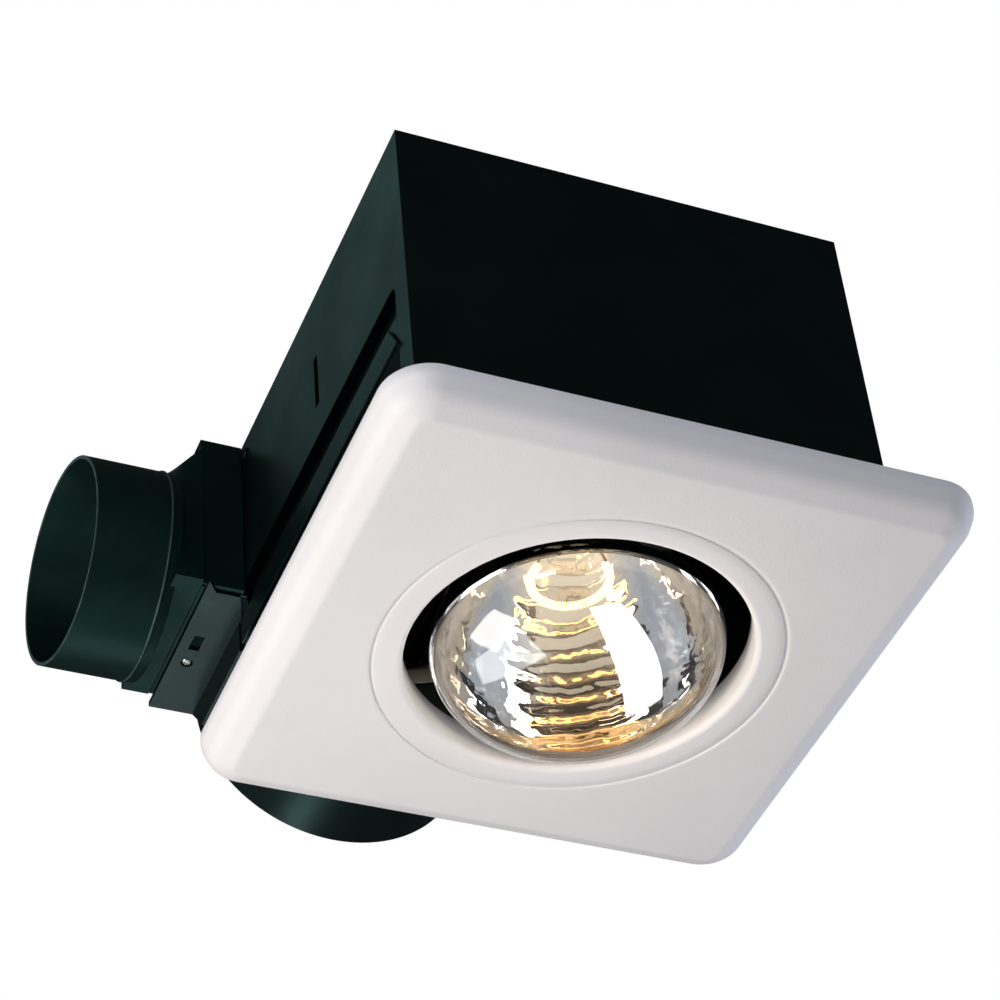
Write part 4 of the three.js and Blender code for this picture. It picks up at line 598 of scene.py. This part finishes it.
def takes_rim_highlight(normal, middle):
    """The end face of the mouth, and whatever stands more than 0.35 mm proud of the collar."""
    on_rim = (normal[:, 0] < -0.6) & (middle[:, 0] < -186)
    on_ridge = np.hypot(middle[:, 1] - collar_y, middle[:, 2] - collar_z) > collar_outer + 0.35
    return on_rim | on_ridge


# The rim and the ridge take the painted highlight.
also_wears(collar, rim_highlight_moulding, takes_rim_highlight)

# Behind the collar the connector's body turns from the circle to the outlet's rectangle, its floor
# flat and its corners square, and a flat sill closes it to the collar.
root_x, mouth_x = -149.5, -134.3
body_near, body_far, body_floor, shoulder = 93.0, 178.0, 71.0, 153.5
wall, open_above = 2, 99
corner_angles = [
    np.arctan2(z - collar_z, y - collar_y) for y in (body_near, body_far) for z in (body_floor, shoulder)
]
around = np.unique(np.concatenate([np.linspace(-np.pi, np.pi, 144, endpoint=False), corner_angles]))


def part_of_connector(name, rows):
    """A part of the moulding through rows of points in millimetres."""
    placed(skin(name, np.array(rows) * mm, crease=28), *moulded, "duct_connector")


def body_row(x, inset, share):
    """Each ray from the collar's middle meets the circle and the rectangle; a row mixes the two by
    share, is held inside the rectangle, and below the middle always follows the rectangle."""
    ray = np.stack([np.cos(around), np.sin(around)], 1)
    low = np.array([body_near + inset - collar_y, body_floor + inset - collar_z])
    high = np.array([body_far - inset - collar_y, shoulder - inset - collar_z])
    with np.errstate(divide="ignore"):
        side_reach = np.min(np.where(ray > 0, high / ray, np.where(ray < 0, low / ray, np.inf)), 1)
    reach = ray * side_reach[:, None]
    circle = (collar_outer - inset) * ray
    flat = np.clip((1 - share) * circle + share * reach, low, (high[0], open_above))
    flat = np.where(ray[:, 1:] < 0, reach, flat)
    return np.column_stack([np.full(len(around), x), flat[:, 0] + collar_y, flat[:, 1] + collar_z])


body_rows = [body_row(root_x + (mouth_x - 2 - root_x) * s, 0, s) for s in np.linspace(0, 1, 12)]
body_rows += [body_row(root_x + 0.6 + (mouth_x - 2.6 - root_x) * s, wall, s) for s in np.linspace(1, 0, 12)]
part_of_connector("duct_body", body_rows)
inner_row = body_row(0, wall, 0)[:, 1:] - (collar_y, collar_z)
sill_outer, sill_hole = 49.7, np.minimum(np.linalg.norm(inner_row, axis=1), collar_bore)
sill_rows = []
sill_edge = ((root_x, sill_hole), (root_x, sill_outer), (root_x + 2, sill_outer), (root_x + 2, sill_hole))
for x, reach in sill_edge:
    round_y, round_z = collar_y + reach * np.cos(around), collar_z + reach * np.sin(around)
    sill_rows.append(np.column_stack([np.full(len(around), x), round_y, round_z]))
part_of_connector("duct_sill", sill_rows)


# At the outlet the same moulding has a mouth plate, a socket that laps the outlet's near side and
# its roof, and a spigot that enters the outlet.
def frame_row(x, near, far, floor, top, inset=0.0):
    """A rounded rectangle across the outlet at x, drawn in by inset."""
    near, far, floor, top = near + inset, far - inset, floor + inset, top - inset
    flat = eased([(near, floor), (far, floor), (far, top), (near, top)], 0.8, 4)
    return np.column_stack([np.full(len(flat), x), flat])


plate_back = mouth_x - 1.8
plate_edge = ((plate_back, 0.2), (-135.9, 0), (-134.5, 0), (mouth_x, 0.2))
plate_rows = [frame_row(x, 95.3, body_far - 0.3, body_floor, 160.5, inset) for x, inset in plate_edge]
plate_rows += [frame_row(x, 101.6, 174.7, 74.3, 151.9) for x in (mouth_x, plate_back)]
part_of_connector("duct_mouth_plate", plate_rows)
socket_outline = [(95, 71), (95, 160.8), (178, 160.8), (178, 159.8), (98, 159.8), (98, 71)]
socket = drawn("duct_socket", eased(socket_outline, 0.3), "X", -136.3, -116.4)
placed(socket, *moulded, "duct_connector")
spigot_edge = ((-135, 0), (-121.4, 0), (-121, 0.4), (-121, 1.2), (-121.4, 1.6), (-135, 1.6))
spigot_rows = [frame_row(x, 100, 176.3, 72.7, shoulder, inset) for x, inset in spigot_edge]
part_of_connector("duct_spigot", spigot_rows)

# Damper seats: two half rings inside the collar, moulded with it, one below the flap's pin and one
# above it. A screw through the bracket's hole holds the connector.
seat_section = eased([(44.7, 0), (48.2, 0), (48.2, 1.5), (44.7, 1.5)], 0.3)[None]
seats = (("damper_seat_lower", -161.4, (-190, 10)), ("damper_seat_upper", -166.1, (24, 156)))
for name, seat_x, arc in seats:
    sweep = np.radians(np.linspace(*arc, 72))[:, None, None]
    seat = np.concatenate([
        seat_x + seat_section[..., 1:] + 0 * sweep,
        collar_y + seat_section[..., :1] * np.cos(sweep),
        collar_z + seat_section[..., :1] * np.sin(sweep),
    ], -1)
    placed(skin(name, closed_ends(seat) * mm, loop_rows=False), *moulded)
pan_screw("connector_screw", "Z", -1, 2.3, 1.2, 1.5)

# Damper: a round flap of thin galvanised sheet with a rolled eye. It swings on a wire pin that lies
# across the collar.
wears(black_paint, "damper_pin")
wears(zinc_sheet, "damper_flap")

# Trim panel: one white moulding, 264 mm square, with corners of 21 mm and an edge rounded by
# 15 mm. Its face has a fine spark-eroded grain; the opening's lip is rolled back round the lamp.
# Each point of its square outline hangs on a corner's centre, by signs, and lies off it by a way.
trim_half, trim_corner, trim_round, trim_depth, trim_wall = 132.0, 21.0, 15.0, 18.0, 2.4
opening, lip_radius, lip_height = 75.5, 3.2, 14.8
quarters = np.array([(1, 1), (-1, 1), (-1, -1), (1, -1)])[:, None]
side_ways = np.array([(0, 1), (-1, 0), (0, -1), (1, 0)])[:, None]
arc_share, side_share = np.linspace(0, 1, 25), np.linspace(0, 1, 29)[1:-1, None]
arc_angle = (np.arange(4)[:, None] + arc_share) * np.pi / 2
arc_way = np.stack([np.cos(arc_angle), np.sin(arc_angle)], -1)
side_sign = quarters + (np.roll(quarters, -1, 0) - quarters) * side_share
square_sign = np.concatenate([quarters + 0 * arc_way, side_sign], 1).reshape(-1, 2)
square_way = np.concatenate([arc_way, side_ways + 0 * side_share], 1).reshape(-1, 2)


def at_height(flat, z):
    """Flat points set at a height."""
    return np.column_stack([flat, np.full(len(flat), z)])


def square_row(offset, z):
    """A rounded square drawn in by offset: corner centres + way times the corner's radius."""
    return at_height(square_sign * (trim_half - trim_corner) + square_way * (trim_corner - offset), z)


face_edge = square_row(trim_round, 0)[:, :2]
face_angle = np.arctan2(face_edge[:, 1], face_edge[:, 0])
face_way = np.column_stack([np.cos(face_angle), np.sin(face_angle)])


def face_row(share, radius, z):
    """A row of the flat face between the circle and the square's edge."""
    return at_height((1 - share) * face_edge + share * radius * face_way, z)


# The edge's line from the ceiling down and round to the face is (offset, z); the first two and the
# last of its corners only guide the curve, so the three between, of nine points each, are kept.
edge_corners = [(9, 0), (0, -0.5), (0, -4.2), (4.0, -13.4), (14.2, -trim_depth), (60, -trim_depth)]
edge_line = [(0.35, 0), (0.1, -0.1), (0, -0.35), (0, -1.8)]
edge_line += [tuple(p) for p in eased(edge_corners, (5, 5, 5, 5, 1.6, 5), 8)[18:45]]
face_ring, back_z = 91.5, -15.6
ring_groove = [
    (face_ring, -18), (89.95, -18), (89.8, -17.93), (89.65, -17.55), (89.5, -17.5),
    (88.5, -17.5), (88.35, -17.55), (88.2, -17.93), (88.05, -18), (84, -18),
]
lip_roll = [
    (opening + lip_radius - lip_radius * np.sin(a), -lip_height - lip_radius * np.cos(a))
    for a in np.linspace(0, np.pi / 2, 11)
]
opening_line = [
    (opening, -8), (opening, -3.3), (75.8, -3), (77.6, -3), (77.9, -3.3),
    (77.9, -12.6), (79, -14.6), (80.9, back_z),
]
inner_roll = trim_round - trim_wall
trim_rows = [square_row(max(offset, 0), z) for offset, z in edge_line]
trim_rows += [face_row(share, face_ring, -trim_depth) for share in (0.25, 0.5, 0.75)]
trim_rows += [at_height(radius * face_way, z) for radius, z in ring_groove + lip_roll + opening_line]
trim_rows += [face_row(share, face_ring, back_z) for share in (0.75, 0.5, 0.25)]
trim_rows += [
    square_row(trim_round - inner_roll * np.sin(a), -3 - inner_roll * np.cos(a))
    for a in np.linspace(0, np.pi / 2, 9)
]
trim_rows += [square_row(offset, z) for offset, z in ((trim_wall, -0.35), (2.3, -0.1), (2.05, 0))]
white_moulding = finish(
    "white_moulding", (0.81, 0.775, 0.75), (0.85, 0.82, 0.795), 0.5,
    cloud=9, wander=0.04, grain=1100, depth=0.00009,
)
moulded_white = ("trim", "white_plastic", white_moulding)
placed(skin("trim_moulding", np.array(trim_rows) * mm, crease=50), *moulded_white, "trim_panel")

# Trim clips: two leaf springs of plated steel that hold the trim up in the housing. Each is screwed
# to a boss on the trim's back.
boss_profile = [(1.7, -14), (4.2, -15.7), (4.2, -10.6), (1.7, -10.6)]
for side in ("near", "far"):
    clip, screw = f"trim_clip_{side}", f"trim_clip_screw_{side}"
    screw_low, screw_high = box_of(screw)
    boss_at = (*((screw_low + screw_high) / 2)[:2], 0)
    placed(turned(f"trim_boss_{side}", boss_profile, "Z", boss_at, 40, 0.3), *moulded_white)
    placed(pressed(f"trim_clip_leaf_{side}", clip, 0.2), "trim", "bright_steel", bright_zinc, clip)
    pan_screw(screw, "Z", 1, 3.4, 2.0, 1.4, body="trim")

# Lamp bulb: blown glass, 127 mm across, clear in front of the waist and silvered inside its bowl.
# The clear front is a thin shell that mirrors more at a slant: 0.04 + 0.96 facing^5.
lamp_radius, lamp_waist, lamp_dome, bowl_height, glass_wall = 64.0, -11.5, 38.0, 104.0, 1.3
bowl_shares = [
    (0, 1), (0.05, 0.994), (0.14, 0.955), (0.26, 0.875), (0.38, 0.765), (0.5, 0.635),
    (0.6, 0.52), (0.7, 0.41), (0.79, 0.325), (0.88, 0.27), (1, 0.195),
]


def through(points, count):
    """count points on a Catmull-Rom curve through all the given ones, the end tangents one-sided."""
    points = np.asarray(points, float)
    padded = np.concatenate([2 * points[:1] - points[1:2], points, 2 * points[-1:] - points[-2:-1]])
    at = np.linspace(0, len(points) - 1, count)
    k = np.minimum(at.astype(int), len(points) - 2)
    t = (at - k)[:, None]
    a, b, c, d = padded[k], padded[k + 1], padded[k + 2], padded[k + 3]
    return 0.5 * (2 * b + (c - a) * t + (2 * a - 5 * b + 4 * c - d) * t**2 + (3 * b - a - 3 * c + d) * t**3)


def dome_line(inset, angle):
    """(radius, height) on an ellipse of radius 64 and depth 38 mm, both less the inset."""
    return (lamp_radius - inset) * np.cos(angle), lamp_waist - (lamp_dome - inset) * np.sin(angle)


def worked(tree, operation, *terms):
    """One sum, ABSOLUTE, MULTIPLY or POWER, of values or sockets."""
    node = tree.nodes.new("ShaderNodeMath")
    node.operation = operation
    return fill(node, dict(enumerate(terms))).outputs[0]


dome_angle = np.linspace(np.pi / 2, 0, 33)
dome_outside, dome_inside = (np.stack(dome_line(inset, dome_angle), 1) for inset in (0, glass_wall))
front_profile = np.concatenate([dome_outside, dome_inside[::-1]])
front_profile[[0, -1], 0] = 0
clear_glass = bpy.data.materials.new("clear_glass")
clear_glass.use_nodes = True
glass_tree = clear_glass.node_tree
glass_gloss = fill(
    glass_tree.nodes["Principled BSDF"], {"Base Color": (1, 1, 1, 1), "Metallic": 1.0, "Roughness": 0.0}
)
glass_clear = made(glass_tree, "BsdfTransparent", {"Color": (0.985, 0.98, 0.965, 1)})
glass_facing = made(glass_tree, "LayerWeight", {"Blend": 0.5}).outputs["Facing"]
glass_share = ranged(glass_tree, worked(glass_tree, "POWER", glass_facing, 5.0), 0.0, 1.0, 0.04, 1.0)
glass_mix = {0: glass_share, 1: glass_clear.outputs[0], 2: glass_gloss.outputs[0]}
fill(glass_tree.nodes["Material Output"], {0: made(glass_tree, "MixShader", glass_mix).outputs[0]})
front_glass = turned("lamp_front_glass", front_profile, "Z", sides=160, crease=60)
placed(front_glass, "lamp", "lamp_glass", clear_glass, "lamp_bulb")

# Its bowl is a wavy mirror. In a middle column its ripples show the glowing wire as warm rungs; that
# column is also tinted amber and given a warm glow that grows towards the wire, a painted reflection of
# the filament's light. Its sides are calm, and its far side is tinted a little yellow, a painted reflection.
bowl_line = through([(lamp_radius * s, lamp_waist + bowl_height * r) for r, s in bowl_shares], 60)
bowl_profile = np.concatenate([bowl_line, bowl_line[::-1] - (glass_wall, 0)])
silvering = finish(
    "silvering", (0.72, 0.73, 0.76), (0.86, 0.88, 0.92), 0.03,
    metal=1.0, cloud=25, wander=0.02, grain=70, depth=0.0003,
)
silver_tree = silvering.node_tree
# The middle column: its ripples are real bumps, its amber tint and glow are painted reflection.
ripple_and_glow_column = worked(silver_tree, "ABSOLUTE", along(silver_tree, (0.9, -0.44, 0.0)))
ripple_and_glow_column = ranged(silver_tree, ripple_and_glow_column, 0.014, 0.032, 1.0, 0.12)
silver_wave = silver_tree.nodes.new("ShaderNodeTexWave")
silver_wave.bands_direction = "Z"
fill(silver_wave, {
    "Vector": silver_tree.nodes["Texture Coordinate"].outputs["Object"],
    "Scale": 32, "Distortion": 5.0, "Detail": 3.0, "Detail Scale": 0.9,
})
silver_bump = made(silver_tree, "Bump", {
    "Distance": 0.0008, "Normal": silver_tree.nodes["Bump"].outputs["Normal"],
    "Height": worked(silver_tree, "MULTIPLY", ripple_and_glow_column, silver_wave.outputs["Fac"]),
})
# Painted reflection: the far side is tinted a little yellow.
painted_yellow_side = ranged(silver_tree, along(silver_tree, (0.44, 0.9, 0.0)), 0.036, 0.058)
silver_and_painted_tone = silver_tree.nodes["Color Ramp"].outputs["Color"]
silver_and_painted_tone = mixed(silver_tree, painted_yellow_side, silver_and_painted_tone, (1.0, 0.94, 0.84, 1), "MULTIPLY")
silver_and_painted_tone = mixed(silver_tree, ripple_and_glow_column, silver_and_painted_tone, (1.0, 0.84, 0.63, 1), "MULTIPLY")
# Painted light: a warm glow in the column that grows towards the wire, though the bowl is no lamp.
painted_filament_glow = ranged(silver_tree, along(silver_tree, (0, 0, 1)), 0.012, 0.07, 0.0, 0.55)
fill(silver_tree.nodes["Principled BSDF"], {
    "Base Color": silver_and_painted_tone, "Normal": silver_bump.outputs["Normal"], "Emission Color": (1.0, 0.8, 0.54, 1),
    "Emission Strength": worked(silver_tree, "MULTIPLY", painted_filament_glow, ripple_and_glow_column),
})
silver_bowl = turned("lamp_silvered_bowl", bowl_profile, "Z", sides=160, crease=60)
placed(silver_bowl, "lamp", "lamp_glass", silvering, "lamp_bulb")

# The silver runs on past the waist in a band inside the clear front, from 1.5 degrees of the dome
# wide to 14 degrees at the far right.
band_around = np.arange(160) * 2 * np.pi / 160
band_wide = np.clip(0.35 + 0.65 * np.cos(band_around - np.radians(64)), 0, 1) ** 2
band_share = np.concatenate([np.linspace(0, 1, 9), np.linspace(1, 0, 9)])[:, None]
band_inset = np.repeat([1.35, 1.6], 9)[:, None]
band_radius, band_z = dome_line(band_inset, band_share * np.radians(1.5 + 12.5 * band_wide))
band_grid = np.stack([band_radius * np.cos(band_around), band_radius * np.sin(band_around), band_z], -1)
silver_band = skin("lamp_silvered_band", band_grid * mm, crease=60)
placed(silver_band, "lamp", "lamp_glass", silvering, "lamp_bulb")

# The cards are kept to the surfaces that they were set up for, and a small lamp in the bulb's
# front throws the filament's light on the opening's lip.
bowl_pieces = [silver_bowl, silver_band]
card_rules = [
    (glass_cards, [front_glass], "INCLUDE"),
    (bowl_cards, bowl_pieces, "INCLUDE"),
    ([foot_card], [front_glass, *bowl_pieces, scroll_wrap], "EXCLUDE"),
    ([scroll_card], [front_glass, *bowl_pieces], "EXCLUDE"),
]
for number, (cards, pieces, rule) in enumerate(card_rules):
    group = bpy.data.collections.new(f"card_rule_{number}")
    for piece in pieces:
        group.objects.link(piece)
    for entry in group.collection_objects:
        entry.light_linking.link_state = rule
    for card in cards:
        card.light_linking.receiver_collection = group
lamp_glow = linked(bpy.data.objects.new("lamp_glow", bpy.data.lights.new("lamp_glow", "POINT")))
lamp_glow.data.energy, lamp_glow.data.color, lamp_glow.data.shadow_soft_size = 0.13, (1.0, 0.92, 0.84), 0.012
lamp_glow.location, lamp_glow.visible_glossy, lamp_glow.visible_camera = (0, 0, -0.046), False, False

# Lamp base and contact: a brass shell with a rolled thread, cemented on the bulb's neck, and a
# soldered contact at its end.
lamp_brass = finish("lamp_brass", (0.5, 0.34, 0.12), (0.68, 0.5, 0.22), 0.3, metal=1.0, cloud=150)
wears(lamp_brass, "lamp_base")
wears(bright_zinc, "lamp_contact")

# Stem, support wires and filament: a glass stem carries two wires, and on them hangs the coiled
# tungsten wire, an open ring of sixty curls that glows yellow-white.
support_wire = finish("support_wire", (0.25, 0.24, 0.22), (0.4, 0.38, 0.35), 0.35, metal=1.0, cloud=300)
wears(clear_glass, "lamp_stem")
wears(support_wire, "lamp_support_wire_1", "lamp_support_wire_2")


def tube(name, centres, radius, sides):
    """A round tube on a line of points: each ring lies square to the line, turned by a frame that is
    carried along from one fixed direction, and the ends close in a point."""
    tangent = unit(np.gradient(centres, axis=0))
    guide = unit(np.cross(tangent, (0.13, 0.29, 0.95)))
    other = np.cross(tangent, guide)
    angle = (np.arange(sides) * 2 * np.pi / sides)[None, :, None]
    rings = centres[:, None] + radius * (np.cos(angle) * guide[:, None] + np.sin(angle) * other[:, None])
    return skin(name, closed_ends(rings) * mm, loop_rows=False, crease=60)


curls, ring_radius, curl_radius, wire_radius, filament_z = 60, 17.5, 1.6, 0.32, 39
curl_share = np.linspace(0, 1, curls * 14 + 1)
ring_angle = np.radians(-53 + 250 * curl_share)
curl_angle = 2 * np.pi * curls * curl_share
filament_line = np.stack([
    (ring_radius + curl_radius * np.cos(curl_angle)) * np.cos(ring_angle),
    (ring_radius + curl_radius * np.cos(curl_angle)) * np.sin(ring_angle),
    lamp_waist + filament_z + curl_radius * np.sin(curl_angle),
], 1)
glowing_wire = finish("glowing_wire", (0.8, 0.5, 0.2), (1.0, 0.7, 0.35), 0.5, cloud=300)
fill(glowing_wire.node_tree.nodes["Principled BSDF"], {
    "Emission Color": (1.0, 0.56, 0.2, 1), "Emission Strength": 4.5,
})
filament = tube("filament_coil", filament_line, wire_radius, 8)
filament.visible_diffuse = False
placed(filament, "lamp", "tungsten", glowing_wire, "lamp_filament")

# Lampholder: a glazed porcelain body with a brass screw shell and a sprung contact, hung by two
# screws from a galvanised hat-shaped bracket.
glaze = finish("porcelain_glaze", (0.78, 0.76, 0.7), (0.86, 0.85, 0.8), 0.15, cloud=60)
wears(lamp_brass, "lampholder_shell", "lampholder_contact")
wears(glaze, "lampholder_body")
placed(pressed("lampholder_bracket_hat", "lampholder_bracket", 0.25), *galvanised, "lampholder_bracket")
for number in (1, 2):
    pan_screw(f"lampholder_screw_{number}", "Z", 1, 3.6, 2.2, 1.8)

# Heat shield and thermal cutout: a folded tray of bright aluminium under the lampholder's bracket,
# with a steel capsule clipped on top.
bright_steel = ("housing_assembly", "bright_steel", bright_zinc)
shield_metal = finish("shield_aluminium", (0.62, 0.62, 0.62), (0.78, 0.78, 0.78), 0.3, metal=1.0, cloud=120)
shield = pressed("heat_shield_tray", "heat_shield", 0.25)
placed(shield, "housing_assembly", "shield_aluminium", shield_metal, "heat_shield")
placed(pressed("thermal_cutout_can", "thermal_cutout", 0.4), *bright_steel, "thermal_cutout")

# Wiring compartment: a folded galvanised cover in the near right corner, its screw, the green
# ground screw, the nylon receptacle with the motor's plug, and the cable clamp in the wall.
placed(pressed("wiring_cover_fold", "wiring_cover", 0.25), *galvanised, "wiring_cover")
pan_screw("wiring_cover_screw", "Z", -1, 3.8, 2.2, 1.8)
green_dye = finish("green_dye", (0.03, 0.16, 0.05), (0.05, 0.24, 0.08), 0.35, metal=0.6, cloud=300)
pan_screw("ground_screw", "X", -1, 3.8, 2.2, 1.8, slot="green_steel", material=green_dye)
white_nylon = finish("white_nylon", (0.7, 0.68, 0.62), (0.8, 0.78, 0.73), 0.45, cloud=80)
receptacle = pressed("receptacle_block", "blower_receptacle")
placed(receptacle, "housing_assembly", "white_plastic", white_nylon, "blower_receptacle")
placed(pressed("plug_block", "blower_plug", 0.6), *moulded, "blower_plug")
clamp_low, clamp_high = box_of("cable_clamp")
clamp_bore, clamp_outer, clamp_neck, clamp_groove = 7.5, 14.3, 10.8, (94.5, 96.3)
clamp_profile = [
    (clamp_bore, clamp_low[0]), (clamp_outer, clamp_low[0]), (clamp_outer, clamp_groove[0]),
    (clamp_neck, clamp_groove[0]), (clamp_neck, clamp_groove[1]), (clamp_outer, clamp_groove[1]),
    (clamp_outer, clamp_high[0]), (clamp_bore, clamp_high[0]),
]
clamp_at = (0, *((clamp_low + clamp_high) / 2)[1:])
placed(turned("cable_clamp_bushing", clamp_profile, "X", clamp_at, 72, 0.5), *moulded, "cable_clamp")

# Leads: stranded copper in black sleeving, two from the lampholder and one from the plug to the
# motor through a rubber grommet.
sleeving = finish(
    "lead_sleeving", (0.012, 0.013, 0.013), (0.022, 0.023, 0.023), 0.45, cloud=200, grain=3000, depth=0.00002
)
wears(sleeving, "lead_grommet", "lamp_lead_1", "lamp_lead_2", "motor_lead")
